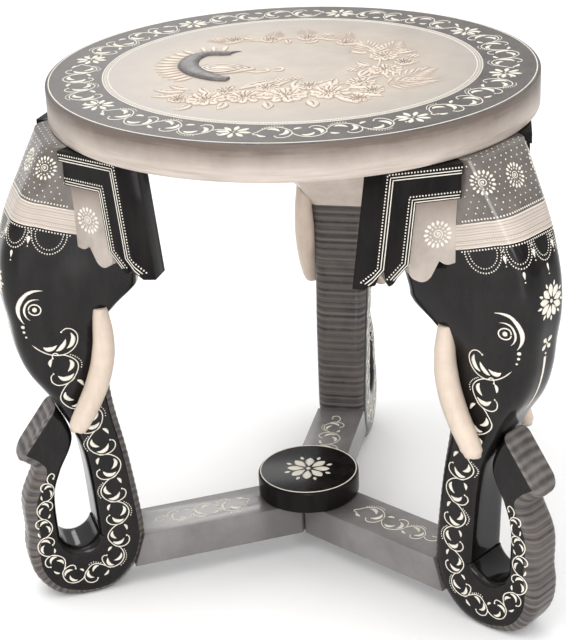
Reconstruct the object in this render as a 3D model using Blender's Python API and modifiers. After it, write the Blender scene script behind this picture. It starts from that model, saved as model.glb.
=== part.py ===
"""Round side table carried by three carved elephant-head legs, all sizes in metres.

The origin is the centre of the top's upper face and +Z points up, so the floor lies at -TABLE_HEIGHT.
Each leg is modelled once in its own frame: X runs outward from the table's axis, Y runs across the leg.
"""

import math

import bmesh
import bpy
from mathutils import Matrix, Vector

# Table top
TABLE_HEIGHT = 0.420
TOP_DIAMETER = 0.380
TOP_THICKNESS = 0.028
TOP_EDGE_RADIUS = 0.003

# Elephant head, measured outward from the top's rim and down from the top's underside
CROWN_BACK = -0.055
CROWN_FRONT = 0.010
BROW_FRONT = 0.052
BROW_DROP = 0.098
JAW_BACK = -0.048
JAW_DROP = 0.116
TRUNK_ROOT_DROP = 0.166
TRUNK_ROOT_BACK = -0.019
HEAD_HALF_WIDTH = 0.042
CROWN_FRONT_HALF_WIDTH = 0.036
NAPE_HOLLOW = 0.002
BROW_ROUNDING = 0.003
TRUNK_ROOT_FRONT = 0.046
FOREHEAD_CORNER_RADIUS = 0.017

# Trunk and its curled loop, the loop measured up from the floor
TRUNK_HALF_WIDTH = 0.026
TRUNK_CORNER_RADIUS = 0.011
LOOP_HALF_WIDTH = 0.0225
CURL_HALF_WIDTH = 0.0190
LOOP_HOLE_CORNER_RADIUS = 0.007
TIP_HALF_WIDTH = 0.0150
LOOP_CENTRE = 0.0135
LOOP_CENTRE_HEIGHT = 0.060
LOOP_HOLE_RADIUS = 0.0160
TRUNK_DEPTH = 0.0380
CURL_DEPTH = 0.0245
SOLE_DEPTH = 0.0475
HEEL_FULLNESS = 0.0045
LIP_FRONT = 0.054
LIP_HEIGHT = 0.128
LIP_FLARE = 0.0105
LIP_NECK_DROP = 0.013
TIP_HEIGHT = 0.172
TIP_GAP = 0.0010

# Ears: stepped blocks that spread from the cheeks, measured along and down from the face's inner top corner
EAR_SPREAD_ANGLE = math.radians(54.0)
EAR_INNER = 0.006
EAR_INNER_HALF_WIDTH = 0.038
EAR_TOP_LENGTH = 0.060
EAR_BOTTOM_LENGTH = 0.071
EAR_DROP = 0.090
EAR_THICKNESS = 0.024
EAR_SIDE_FLARE = 0.012
EAR_SIDE_DEPTH = 0.0065
EAR_STEP = 0.0045
EAR_FACE_PROUD = 0.001
EAR_OUTER_BAND = 0.008
EAR_MIDDLE_BAND = 0.019
EAR_OUTER_TOP_BAND = 0.008
EAR_MIDDLE_TOP_BAND = 0.0195
EAR_TOOTH = 0.017
EAR_NOTCH = 0.002
EAR_INNER_END = 0.0035

# Tusks
TUSK_RADIUS = 0.0092
TUSK_LENGTH = 0.101
TUSK_BOW = 0.011
TUSK_ROOT = -0.017
TUSK_TIP_FORWARD = 0.027
TUSK_ROOT_DROP = 0.131
TUSK_SINK = 0.002

# Stretcher frame under the table
ARM_WIDTH = 0.044
ARM_THICKNESS = 0.028
ARM_EDGE_RADIUS = 0.0015
ARM_TOP_HEIGHT = 0.046
BOSS_DIAMETER = 0.086
BOSS_THICKNESS = 0.020
BOSS_EDGE_RADIUS = 0.0025

# Hidden fasteners
CLEARANCE = 0.0003
BOLT_RADIUS = 0.0040
BOLT_INSET = 0.018
BOLT_REACH_UP = 0.018
BOLT_REACH_DOWN = 0.040
LEG_DOWEL_RADIUS = 0.0050
LEG_DOWEL_INSET = 0.040
LEG_DOWEL_REACH = 0.016
EAR_DOWEL_RADIUS = 0.0040
EAR_DOWEL_LENGTH = 0.032
EAR_DOWEL_INSET = 0.029
EAR_DOWEL_DROP = 0.046
TUSK_PIN_RADIUS = 0.0025
TUSK_PIN_LENGTH = 0.020
ARM_DOWEL_RADIUS = 0.0050
ARM_DOWEL_LENGTH = 0.046
SCREW_RADIUS = 0.0022
SCREW_HEAD_RADIUS = 0.0044
SCREW_BITE = 0.014
SCREW_CIRCLE_RADIUS = 0.024

# Smoothness of the carved and turned surfaces
TOP_SIDES = 96
BOSS_SIDES = 48
PIN_SIDES = 16
RINGS_PER_STATION = 2
CORNER_STEPS = 3
LOOP_STATIONS = 8

# Sections of the straight trunk: how far the back and front edges have dropped, then moved, toward the loop
TRUNK_SECTIONS = [(0.10, 0.13, 0.10, 0.15), (0.34, 0.31, 0.26, 0.52), (0.64, 0.58, 0.66, 0.87)]

# Sections of a tusk: share of its length and share of its full radius
TUSK_SECTIONS = [(0.0, 0.8), (0.18, 0.95), (0.38, 1.0), (0.6, 1.0), (0.8, 0.95), (0.94, 0.82), (1.0, 0.5)]

# Where a section's side is shaped between its corners, and how late the side turns in toward the front
SIDE_SHARES = [0.42, 0.66, 0.84]
SIDE_FULLNESS = 2.5

# Worked out from the sizes above
RIM = TOP_DIAMETER / 2
UNDERSIDE = -TOP_THICKNESS
SEAT = UNDERSIDE - CLEARANCE
FLOOR = -TABLE_HEIGHT
LOOP_Z = FLOOR + LOOP_CENTRE_HEIGHT
ARM_TOP = FLOOR + ARM_TOP_HEIGHT
ARM_MIDDLE = ARM_TOP - ARM_THICKNESS / 2

LEGS = {"rear": 90.0, "left": 210.0, "right": 330.0}

BLACK = ("black_lacquer", (0.012, 0.012, 0.013), 0.30, 0.0)
GREY = ("grey_paint", (0.115, 0.112, 0.110), 0.45, 0.0)
CREAM = ("cream_paint", (0.640, 0.560, 0.440), 0.50, 0.0)
IVORY = ("ivory_paint", (0.760, 0.650, 0.500), 0.40, 0.0)
DOWEL = ("bare_wood", (0.420, 0.270, 0.150), 0.70, 0.0)
STEEL = ("zinc_steel", (0.480, 0.480, 0.480), 0.35, 1.0)


def clear_scene():
    """Remove every object, so that the model starts from nothing."""
    for old in list(bpy.data.objects):
        bpy.data.objects.remove(old, do_unlink=True)


def finish_material(finish):
    """Return the Principled material of a finish, made the first time it is asked for."""
    name, colour, roughness, metallic = finish
    material = bpy.data.materials.get(name)
    if material is None:
        material = bpy.data.materials.new(name)
        material.use_nodes = True
        shader = material.node_tree.nodes["Principled BSDF"]
        shader.inputs["Base Color"].default_value = (*colour, 1.0)
        shader.inputs["Roughness"].default_value = roughness
        shader.inputs["Metallic"].default_value = metallic
    return material


def work_object(name, data):
    """Link a mesh or curve into the scene while it is being shaped."""
    obj = bpy.data.objects.new(name, data)
    bpy.context.scene.collection.objects.link(obj)
    return obj


def baked(obj, weld=False):
    """Replace an object by a plain mesh of what its modifiers or curve settings show."""
    bpy.context.view_layer.update()
    shown = obj.evaluated_get(bpy.context.evaluated_depsgraph_get())
    mesh = bpy.data.meshes.new_from_object(shown)
    name, place = obj.name, obj.matrix_world.copy()
    bpy.data.objects.remove(obj, do_unlink=True)
    if weld:
        body = bmesh.new()
        body.from_mesh(mesh)
        bmesh.ops.remove_doubles(body, verts=body.verts, dist=1e-6)
        bmesh.ops.recalc_face_normals(body, faces=body.faces)
        body.to_mesh(mesh)
        body.free()
    mesh.transform(place)
    return work_object(name, mesh)


def combined(target, tool, operation):
    """Cut, join or intersect one mesh object with another, which is used up."""
    tool.hide_render = True
    tool.display_type = "WIRE"
    step = target.modifiers.new(operation.title(), "BOOLEAN")
    step.operation = operation
    step.solver = "EXACT"
    step.object = tool
    result = baked(target)
    bpy.data.objects.remove(tool, do_unlink=True)
    return result


def rounded(obj, width, segments=2):
    """Round the sharp edges of a mesh object."""
    step = obj.modifiers.new("Edges", "BEVEL")
    step.width = width
    step.segments = segments
    step.limit_method = "ANGLE"
    step.angle_limit = math.radians(40)
    return baked(obj)


def turned(name, profile, sides):
    """Spin a profile of (radius, height) points, listed from the top down, about Z."""
    mesh = bpy.data.meshes.new(name)
    points = [(radius, 0.0, height) for radius, height in profile]
    edges = [(i, i + 1) for i in range(len(points) - 1)]
    mesh.from_pydata(points, edges, [])
    obj = work_object(name, mesh)
    spin = obj.modifiers.new("Turn", "SCREW")
    spin.axis = "Z"
    spin.steps = sides
    spin.render_steps = sides
    spin.use_merge_vertices = True
    spin.merge_threshold = 1e-5
    return baked(obj, weld=True)


def quarter_arc(centre, radius, start, stop, steps=2):
    """Points of an arc in the plane, angles in degrees."""
    angles = [math.radians(start + (stop - start) * i / steps) for i in range(steps + 1)]
    return [(centre[0] + radius * math.cos(a), centre[1] + radius * math.sin(a)) for a in angles]


def disc(name, radius, top, thickness, edge, sides):
    """A turned disc with rounded edges."""
    bottom = top - thickness
    profile = [(0.0, top)]
    profile += quarter_arc((radius - edge, top - edge), edge, 90, 0)
    profile += quarter_arc((radius - edge, bottom + edge), edge, 0, -90)
    profile += [(0.0, bottom)]
    return turned(name, profile, sides)


def slab(name, outline, low, high):
    """A flat outline in X and Y, made solid between two heights."""
    curve = bpy.data.curves.new(name, "CURVE")
    curve.dimensions = "2D"
    curve.fill_mode = "BOTH"
    curve.extrude = (high - low) / 2
    spline = curve.splines.new("POLY")
    spline.points.add(len(outline) - 1)
    for point, (x, y) in zip(spline.points, outline):
        point.co = (x, y, 0.0, 1.0)
    spline.use_cyclic_u = True
    obj = work_object(name, curve)
    obj.location.z = (low + high) / 2
    return baked(obj, weld=True)


def pin(name, start, stop, radius):
    """A plain round pin between two points."""
    start, stop = Vector(start), Vector(stop)
    body = bmesh.new()
    bmesh.ops.create_cone(
        body,
        cap_ends=True,
        segments=PIN_SIDES,
        radius1=radius,
        radius2=radius,
        depth=(stop - start).length,
    )
    turn = (stop - start).to_track_quat("Z", "Y").to_matrix().to_4x4()
    body.transform(Matrix.Translation((start + stop) / 2) @ turn)
    mesh = bpy.data.meshes.new(name)
    body.to_mesh(mesh)
    body.free()
    return work_object(name, mesh)


def pin_hole(start, stop, radius):
    """The cutter for a pin's hole, larger and longer than the pin by the clearance."""
    start, stop = Vector(start), Vector(stop)
    beyond = (stop - start).normalized() * CLEARANCE
    return pin("hole", start - beyond, stop + beyond, radius + CLEARANCE)


def between(a, b, share):
    """The value or point a share of the way from a to b."""
    return a + (b - a) * share


def smooth_path(stations, steps):
    """A Catmull-Rom path through a list of equal-length tuples, with its own points kept."""
    path = []
    last = len(stations) - 1
    for i in range(last):
        before = stations[max(i - 1, 0)]
        here, ahead = stations[i], stations[i + 1]
        after = stations[min(i + 2, last)]
        for k in range(steps):
            t = k / steps
            point = []
            for p0, p1, p2, p3 in zip(before, here, ahead, after):
                bend = 2 * p0 - 5 * p1 + 4 * p2 - p3
                twist = 3 * p1 - p0 - 3 * p2 + p3
                point.append(0.5 * (2 * p1 + (p2 - p0) * t + bend * t**2 + twist * t**3))
            path.append(tuple(point))
    path.append(tuple(stations[last]))
    return path


def head_stations():
    """Sections of the head from crown to trunk root.

    Each section is the back edge's x and z, the front edge's x and z, the half widths at its back and front,
    and the radius of its front corners.
    """

    def station(drop_back, drop_front, back, front, wide, narrow):
        places = (RIM + back, SEAT - drop_back, RIM + front, SEAT - drop_front)
        return places + (wide, narrow, FOREHEAD_CORNER_RADIUS)

    def forehead(share, forward, narrowing):
        drop = BROW_DROP * share
        front = between(CROWN_FRONT, BROW_FRONT, forward)
        return station(drop, drop, CROWN_BACK - NAPE_HOLLOW, front, wide, between(crown, slim, narrowing))

    def throat(back_share, front_share, back, front, narrowing):
        drop_back = between(JAW_DROP, TRUNK_ROOT_DROP, back_share)
        drop_front = between(JAW_DROP, TRUNK_ROOT_DROP, front_share)
        return station(drop_back, drop_front, back, front, between(wide, slim, narrowing), slim)

    wide = HEAD_HALF_WIDTH
    slim = TRUNK_HALF_WIDTH
    crown = CROWN_FRONT_HALF_WIDTH
    jaw_top = between(BROW_DROP, JAW_DROP, 0.4)
    throat_back = between(JAW_BACK, TRUNK_ROOT_BACK, 0.55)
    return [
        station(0.0, 0.0, CROWN_BACK, CROWN_FRONT, wide, crown),
        forehead(0.28, 0.35, 0.30),
        forehead(0.56, 0.70, 0.68),
        forehead(0.83, 0.93, 1.0),
        station(jaw_top, BROW_DROP + BROW_ROUNDING, JAW_BACK - NAPE_HOLLOW, BROW_FRONT, wide, slim),
        throat(0.0, 0.12, JAW_BACK, BROW_FRONT, 0.12),
        throat(0.33, 0.52, throat_back, BROW_FRONT - BROW_ROUNDING, 0.45),
        throat(0.72, 1.0, TRUNK_ROOT_BACK, TRUNK_ROOT_FRONT, 0.85),
    ]


def trunk_stations():
    """Sections of the straight trunk between its root and the loop, its front corners tightening."""
    root_z = SEAT - TRUNK_ROOT_DROP
    loop_front = RIM + LOOP_CENTRE - LOOP_HOLE_RADIUS
    stations = []
    for drop_back, drop_front, move_back, move_front in TRUNK_SECTIONS:
        half_width = between(TRUNK_HALF_WIDTH, LOOP_HALF_WIDTH, drop_back)
        stations.append(
            (
                between(RIM + TRUNK_ROOT_BACK, loop_front - TRUNK_DEPTH, move_back),
                between(root_z, LOOP_Z, drop_back),
                between(RIM + TRUNK_ROOT_FRONT, loop_front, move_front),
                between(root_z, LOOP_Z, drop_front),
                half_width,
                half_width,
                between(FOREHEAD_CORNER_RADIUS, LOOP_HOLE_CORNER_RADIUS, drop_front),
            )
        )
    return stations


def loop_stations():
    """Sections round the bottom of the loop, from the trunk's back to the front of the curl."""
    stations = []
    for i in range(LOOP_STATIONS + 1):
        share = i / LOOP_STATIONS
        angle = math.pi * (1 + share)
        side_depth = between(TRUNK_DEPTH, CURL_DEPTH, share)
        depth = between(side_depth, SOLE_DEPTH, math.sin(math.pi * share) ** 2)
        depth += HEEL_FULLNESS * max(0.0, math.sin(2 * math.pi * share))
        outer = LOOP_HOLE_RADIUS + depth
        half_width = between(LOOP_HALF_WIDTH, CURL_HALF_WIDTH, share)
        along, up = math.cos(angle), math.sin(angle)
        stations.append(
            (
                RIM + LOOP_CENTRE + outer * along,
                LOOP_Z + outer * up,
                RIM + LOOP_CENTRE + LOOP_HOLE_RADIUS * along,
                LOOP_Z + LOOP_HOLE_RADIUS * up,
                half_width,
                half_width,
                LOOP_HOLE_CORNER_RADIUS,
            )
        )
    return stations


def tip_stations(trunk_front):
    """Sections of the upturned tip, whose inner edge leans on the trunk's front."""
    inner = RIM + LOOP_CENTRE + LOOP_HOLE_RADIUS
    lip_x, lip_z = RIM + LIP_FRONT, FLOOR + LIP_HEIGHT
    tip_z = FLOOR + TIP_HEIGHT
    neck_z = lip_z - LIP_NECK_DROP
    rest_z = between(neck_z, tip_z, 0.50)
    edges = [
        (inner + CURL_DEPTH, between(LOOP_Z, neck_z, 0.52), inner, between(LOOP_Z, neck_z, 0.62)),
        (lip_x - LIP_FLARE, neck_z, between(inner, trunk_front(neck_z), 0.25), neck_z),
        (
            lip_x - 0.85 * LIP_FLARE,
            between(neck_z, lip_z, 0.5),
            between(inner, trunk_front(rest_z) + TIP_GAP, 0.9),
            rest_z,
        ),
        (lip_x, lip_z, trunk_front(tip_z) + TIP_GAP, tip_z),
    ]
    stations = []
    for i, edge in enumerate(edges):
        half_width = between(CURL_HALF_WIDTH, TIP_HALF_WIDTH, (i + 1) / len(edges))
        stations.append(edge + (half_width, half_width, LOOP_HOLE_CORNER_RADIUS))
    return stations


def edge_at_height(stations, z):
    """The front edge's x at a height, read between the sections of the straight trunk."""
    path = smooth_path(stations, 8)
    for upper, lower in zip(path, path[1:]):
        if upper[3] >= z >= lower[3]:
            return between(upper[2], lower[2], (upper[3] - z) / (upper[3] - lower[3]))
    return path[-1][2]


def section_ring(station, grow):
    """One closed ring of points: a rounded section, wide at its back and drawn in toward its front."""
    back = Vector((station[0], 0.0, station[1]))
    front = Vector((station[2], 0.0, station[3]))
    inward = (front - back).normalized()
    back -= inward * grow
    front += inward * grow
    depth = (front - back).length
    wide, slim, front_corner = station[4] + grow, station[5] + grow, station[6]
    back_corner = TRUNK_CORNER_RADIUS
    half = [(0.0, 0.0)]
    half += quarter_arc((back_corner, wide - back_corner), back_corner, 180, 90)
    for share in SIDE_SHARES:
        across = between(wide, slim, share**SIDE_FULLNESS)
        half.append((between(back_corner, depth - front_corner, share), across))
    half += quarter_arc((depth - front_corner, slim - front_corner), front_corner, 90, 0, CORNER_STEPS)
    half.append((depth, 0.0))
    outline = half + [(along, -across) for along, across in reversed(half[1:-1])]
    return [back + inward * along + Vector((0.0, across, 0.0)) for along, across in outline]


def carved_leg(name, grow=0.0):
    """Loft the head, trunk, loop and tip as one body, its sole planed flat on the floor."""
    upper = head_stations() + trunk_stations()
    stations = upper + loop_stations()
    straight = stations[len(head_stations()) - 1 : len(upper) + 1]
    stations += tip_stations(lambda z: edge_at_height(straight, z))
    body = bmesh.new()
    rings = []
    for station in smooth_path(stations, RINGS_PER_STATION):
        ring = []
        for point in section_ring(station, grow):
            point.z = min(max(point.z, FLOOR), SEAT + grow)
            ring.append(body.verts.new(point))
        rings.append(ring)
    for ring, following in zip(rings, rings[1:]):
        for i in range(len(ring)):
            j = (i + 1) % len(ring)
            body.faces.new((ring[i], ring[j], following[j], following[i]))
    body.faces.new(rings[0])
    body.faces.new(rings[-1])
    bmesh.ops.recalc_face_normals(body, faces=body.faces)
    mesh = bpy.data.meshes.new(name)
    body.to_mesh(mesh)
    body.free()
    return work_object(name, mesh)


def ear_frame():
    """The ear's own axes: X along its face from the head, Y up and Z out of the face."""
    along = Vector((-math.cos(EAR_SPREAD_ANGLE), math.sin(EAR_SPREAD_ANGLE), 0.0))
    outward = Vector((math.sin(EAR_SPREAD_ANGLE), math.cos(EAR_SPREAD_ANGLE), 0.0))
    up = Vector((0.0, 0.0, 1.0))
    place = Matrix((along, up, outward)).transposed().to_4x4()
    return Matrix.Translation((RIM + EAR_INNER, EAR_INNER_HALF_WIDTH, SEAT)) @ place


def ear_length(drop):
    """Length of the ear's face at a depth below its top."""
    return between(EAR_TOP_LENGTH, EAR_BOTTOM_LENGTH, drop / EAR_DROP)


def ear_teeth():
    """The lower edge from the head outward: two lobes of the inner panel, then one point for each step."""
    low, tooth = -EAR_DROP, EAR_TOOTH
    first = ear_length(EAR_DROP - tooth) - EAR_OUTER_BAND
    second = first - EAR_MIDDLE_BAND
    panel = second / 2
    return [
        (panel * 0.30, low + tooth * 0.75),
        (panel * 0.62, low + tooth * 0.66),
        (panel * 0.88, low + tooth * 0.90),
        (panel * 1.22, low + tooth * 0.12),
        (panel * 1.50, low),
        (second - EAR_NOTCH, low + tooth * 0.30),
        (second, low + tooth * 1.05),
        (between(second, first, 0.55), low + tooth * 0.10),
        (between(second, first, 0.72), low),
        (first - EAR_NOTCH, low + tooth * 0.30),
        (first, low + tooth),
        (ear_length(EAR_DROP) - 2 * EAR_NOTCH, low + tooth * 0.25),
    ]


def ear_block():
    """The ear before its steps are cut: its outer side slopes back, so that it shows from the front."""
    teeth = ear_teeth()
    face = [(EAR_INNER_END, 0.0), (EAR_INNER_END, teeth[0][1])] + teeth
    outer = [(ear_length(EAR_DROP), -EAR_DROP + EAR_TOOTH * 0.15), (EAR_TOP_LENGTH, 0.0)]
    back_flare = EAR_SIDE_FLARE / 2
    depths = [(EAR_FACE_PROUD, 0.0), (-EAR_SIDE_DEPTH, EAR_SIDE_FLARE), (-EAR_THICKNESS, back_flare)]
    body = bmesh.new()
    layers = []
    for height, flare in depths:
        outline = face + [(x + flare, y) for x, y in outer]
        layers.append([body.verts.new((x, y, height)) for x, y in outline])
    for front, back in zip(layers, layers[1:]):
        for i in range(len(front)):
            j = (i + 1) % len(front)
            body.faces.new((front[i], front[j], back[j], back[i]))
    body.faces.new(layers[0])
    body.faces.new(layers[-1])
    bmesh.ops.recalc_face_normals(body, faces=body.faces)
    mesh = bpy.data.meshes.new("ear")
    body.to_mesh(mesh)
    body.free()
    return work_object("ear", mesh)


def ear_step(first_band, top_band, depth):
    """The cutter that sinks one step of the ear's face, bounded by a band along its top and outer side."""
    bend = EAR_DROP - EAR_TOOTH
    top_end = ear_length(top_band) - first_band
    low_end = ear_length(bend) - first_band
    beyond = 2 * EAR_TOOTH
    outline = [
        (-2 * EAR_THICKNESS, -top_band),
        (-2 * EAR_THICKNESS, -EAR_DROP - beyond),
        (low_end + beyond, -bend - beyond),
        (low_end, -bend),
        (top_end, -top_band),
    ]
    return slab("step", outline, EAR_FACE_PROUD - depth, EAR_FACE_PROUD + EAR_THICKNESS)


def ear_dowel_ends():
    """The ends of the dowel that carries an ear, across the leg."""
    x = RIM - EAR_DOWEL_INSET
    z = SEAT - EAR_DOWEL_DROP
    middle = HEAD_HALF_WIDTH
    return (x, middle - EAR_DOWEL_LENGTH / 2, z), (x, middle + EAR_DOWEL_LENGTH / 2, z)


def carved_ear():
    """One ear with its steps, toothed edge, seat against the head and dowel hole."""
    ear = ear_block()
    ear = combined(ear, ear_step(EAR_OUTER_BAND, EAR_OUTER_TOP_BAND, EAR_STEP), "DIFFERENCE")
    side = EAR_OUTER_BAND + EAR_MIDDLE_BAND
    top = EAR_OUTER_TOP_BAND + EAR_MIDDLE_TOP_BAND
    ear = combined(ear, ear_step(side, top, 2 * EAR_STEP), "DIFFERENCE")
    ear.data.transform(ear_frame())
    ear = combined(ear, carved_leg("seat", CLEARANCE), "DIFFERENCE")
    return combined(ear, pin_hole(*ear_dowel_ends(), EAR_DOWEL_RADIUS), "DIFFERENCE")


def tusk_path():
    """The tusk's middle line from inside the cheek to its blunt tip, with the radius at each point."""
    across = TRUNK_HALF_WIDTH + TUSK_RADIUS - TUSK_SINK
    path = []
    for share, size in TUSK_SECTIONS:
        forward = TUSK_TIP_FORWARD * share - TUSK_BOW * math.sin(math.pi * share)
        z = SEAT - TUSK_ROOT_DROP - TUSK_LENGTH * share
        path.append(((RIM + TUSK_ROOT + forward, across, z), size))
    return path


def tusk_pin_ends():
    """The ends of the pin that holds a tusk to the trunk's side."""
    point, _ = tusk_path()[3]
    middle = TRUNK_HALF_WIDTH
    start = (point[0], middle - TUSK_PIN_LENGTH / 2, point[2])
    return start, (point[0], middle + TUSK_PIN_LENGTH / 2, point[2])


def carved_tusk():
    """One tusk, seated against the cheek and the trunk."""
    curve = bpy.data.curves.new("tusk", "CURVE")
    curve.dimensions = "3D"
    curve.bevel_depth = TUSK_RADIUS
    curve.bevel_resolution = 3
    curve.use_fill_caps = True
    points = tusk_path()
    spline = curve.splines.new("POLY")
    spline.points.add(len(points) - 1)
    for point, (place, size) in zip(spline.points, points):
        point.co = (*place, 1.0)
        point.radius = size
    tusk = baked(work_object("tusk", curve), weld=True)
    tusk = combined(tusk, carved_leg("seat", CLEARANCE), "DIFFERENCE")
    return combined(tusk, pin_hole(*tusk_pin_ends(), TUSK_PIN_RADIUS), "DIFFERENCE")


def bolt_ends():
    """The ends of the bolt that ties a leg to the top."""
    x = RIM - BOLT_INSET
    return (x, 0.0, UNDERSIDE - BOLT_REACH_DOWN), (x, 0.0, UNDERSIDE + BOLT_REACH_UP)


def leg_dowel_ends():
    """The ends of the dowel that stops a leg from turning."""
    x = RIM - LEG_DOWEL_INSET
    return (x, 0.0, UNDERSIDE - LEG_DOWEL_REACH), (x, 0.0, UNDERSIDE + LEG_DOWEL_REACH)


def arm_dowel_ends():
    """The ends of the dowel between a stretcher arm and the trunk's back."""
    middle = RIM + LOOP_CENTRE - LOOP_HOLE_RADIUS - TRUNK_DEPTH
    return (middle - ARM_DOWEL_LENGTH / 2, 0.0, ARM_MIDDLE), (middle + ARM_DOWEL_LENGTH / 2, 0.0, ARM_MIDDLE)


def mirrored(ends):
    """The same two points on the leg's other side."""
    return [(x, -y, z) for x, y, z in ends]


def bored_leg():
    """The carved leg with the holes for its bolt, dowels and pins."""
    leg = carved_leg("leg")
    holes = [
        (bolt_ends(), BOLT_RADIUS),
        (leg_dowel_ends(), LEG_DOWEL_RADIUS),
        (arm_dowel_ends(), ARM_DOWEL_RADIUS),
        (ear_dowel_ends(), EAR_DOWEL_RADIUS),
        (mirrored(ear_dowel_ends()), EAR_DOWEL_RADIUS),
        (tusk_pin_ends(), TUSK_PIN_RADIUS),
        (mirrored(tusk_pin_ends()), TUSK_PIN_RADIUS),
    ]
    for ends, radius in holes:
        leg = combined(leg, pin_hole(*ends, radius), "DIFFERENCE")
    return leg


def screw_profile(grow):
    """Half outline of the countersunk screw, from the tip in the boss down to its head."""
    tip = ARM_TOP + SCREW_BITE + grow
    base = ARM_TOP - ARM_THICKNESS + (0.0 if grow else CLEARANCE)
    sink = SCREW_HEAD_RADIUS - SCREW_RADIUS
    neck = base + sink
    shaft = SCREW_RADIUS + grow
    return [
        (0.0, tip),
        (shaft, tip - (0.0 if grow else SCREW_RADIUS)),
        (shaft, neck),
        (SCREW_HEAD_RADIUS + grow, base),
        (0.0, base),
    ]


def countersunk_screw(name, grow=0.0):
    """A screw, or the hole for it, standing on its circle in the leg's direction."""
    screw = turned(name, screw_profile(grow), PIN_SIDES)
    screw.data.transform(Matrix.Translation((SCREW_CIRCLE_RADIUS, 0.0, 0.0)))
    return screw


def stretcher_arm():
    """One arm: mitred where the three meet, coped to the trunk's back, bored for its fasteners."""
    half = ARM_WIDTH / 2
    start = CLEARANCE
    shoulder = start + half / math.tan(math.radians(60))
    end = RIM + LOOP_CENTRE - LOOP_HOLE_RADIUS - TRUNK_DEPTH / 3
    outline = [(start, 0.0), (shoulder, -half), (end, -half), (end, half), (shoulder, half)]
    arm = rounded(slab("arm", outline, ARM_TOP - ARM_THICKNESS, ARM_TOP), ARM_EDGE_RADIUS, 1)
    arm = combined(arm, carved_leg("seat", CLEARANCE), "DIFFERENCE")
    arm = combined(arm, pin_hole(*arm_dowel_ends(), ARM_DOWEL_RADIUS), "DIFFERENCE")
    return combined(arm, countersunk_screw("hole", CLEARANCE), "DIFFERENCE")


def spread(obj, angle):
    """Turn a cutter about the table's axis to one leg's direction."""
    obj.data.transform(Matrix.Rotation(math.radians(angle), 4, "Z"))
    return obj


def table_top():
    """The turned top with blind holes for the legs' bolts and dowels."""
    top = disc("top", RIM, 0.0, TOP_THICKNESS, TOP_EDGE_RADIUS, TOP_SIDES)
    for angle in LEGS.values():
        top = combined(top, spread(pin_hole(*bolt_ends(), BOLT_RADIUS), angle), "DIFFERENCE")
        top = combined(top, spread(pin_hole(*leg_dowel_ends(), LEG_DOWEL_RADIUS), angle), "DIFFERENCE")
    return top


def centre_boss():
    """The round block on the crossing of the arms, with pilot holes for its screws."""
    top = ARM_TOP + CLEARANCE + BOSS_THICKNESS
    boss = disc("boss", BOSS_DIAMETER / 2, top, BOSS_THICKNESS, BOSS_EDGE_RADIUS, BOSS_SIDES)
    for angle in LEGS.values():
        boss = combined(boss, spread(countersunk_screw("hole", CLEARANCE), angle), "DIFFERENCE")
    return boss


def mirror_mesh(mesh):
    """A copy of a mesh for the leg's other side, its faces still pointing out."""
    other = mesh.copy()
    other.transform(Matrix.Scale(-1.0, 4, (0.0, 1.0, 0.0)))
    other.flip_normals()
    return other


def taken(obj):
    """Keep a shaped object's mesh and remove the object."""
    mesh = obj.data
    bpy.data.objects.remove(obj, do_unlink=True)
    return mesh


def place(collection, name, mesh, finish, parent):
    """Add one finished sub-part under its parent empty."""
    mesh.materials.clear()
    mesh.materials.append(finish_material(finish))
    mesh.shade_smooth()
    mesh.set_sharp_from_angle(angle=math.radians(35))
    obj = bpy.data.objects.new(name, mesh)
    obj.parent = parent
    collection.objects.link(obj)
    return obj


def add_empty(collection, name, angle=0.0, parent=None):
    """An empty on the table's axis, turned to a leg's direction."""
    empty = bpy.data.objects.new(name, None)
    empty.rotation_euler.z = math.radians(angle)
    empty.parent = parent
    collection.objects.link(empty)
    return empty


def build():
    """Model every sub-part once and place its copies round the table."""
    clear_scene()
    collection = bpy.data.collections.new("elephant_side_table")
    bpy.context.scene.collection.children.link(collection)

    leg = taken(bored_leg())
    ear = taken(carved_ear())
    tusk = taken(carved_tusk())
    arm = taken(stretcher_arm())
    screw = taken(countersunk_screw("screw"))
    bolt = taken(pin("bolt", *bolt_ends(), BOLT_RADIUS))
    leg_dowel = taken(pin("leg_dowel", *leg_dowel_ends(), LEG_DOWEL_RADIUS))
    arm_dowel = taken(pin("arm_dowel", *arm_dowel_ends(), ARM_DOWEL_RADIUS))
    ear_dowel = taken(pin("ear_dowel", *ear_dowel_ends(), EAR_DOWEL_RADIUS))
    tusk_pin = taken(pin("tusk_pin", *tusk_pin_ends(), TUSK_PIN_RADIUS))
    paired = {"ear": (ear, BLACK), "tusk": (tusk, IVORY)}
    paired |= {"ear_dowel": (ear_dowel, DOWEL), "tusk_pin": (tusk_pin, STEEL)}
    single = {"leg": (leg, BLACK), "stretcher_arm": (arm, GREY)}
    single |= {"leg_bolt": (bolt, STEEL), "boss_screw": (screw, STEEL)}
    single |= {"leg_dowel": (leg_dowel, DOWEL), "arm_dowel": (arm_dowel, DOWEL)}

    table = add_empty(collection, "table_axis")
    place(collection, "table_top", taken(table_top()), CREAM, table)
    place(collection, "centre_boss", taken(centre_boss()), BLACK, table)
    for where, angle in LEGS.items():
        axis = add_empty(collection, f"{where}_leg_axis", angle, table)
        for piece, (mesh, finish) in single.items():
            place(collection, f"{where}_{piece}", mesh, finish, axis)
        for piece, (mesh, finish) in paired.items():
            place(collection, f"{where}_{piece}_left", mesh, finish, axis)
            place(collection, f"{where}_{piece}_right", mirror_mesh(mesh), finish, axis)


build()
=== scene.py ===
"""Looks of a round side table: carved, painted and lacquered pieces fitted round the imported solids."""

import math

import bpy
import numpy as np
from bpy.props import FloatProperty, FloatVectorProperty, IntProperty, PointerProperty
from mathutils import Matrix, Vector
from mathutils.bvhtree import BVHTree


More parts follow.
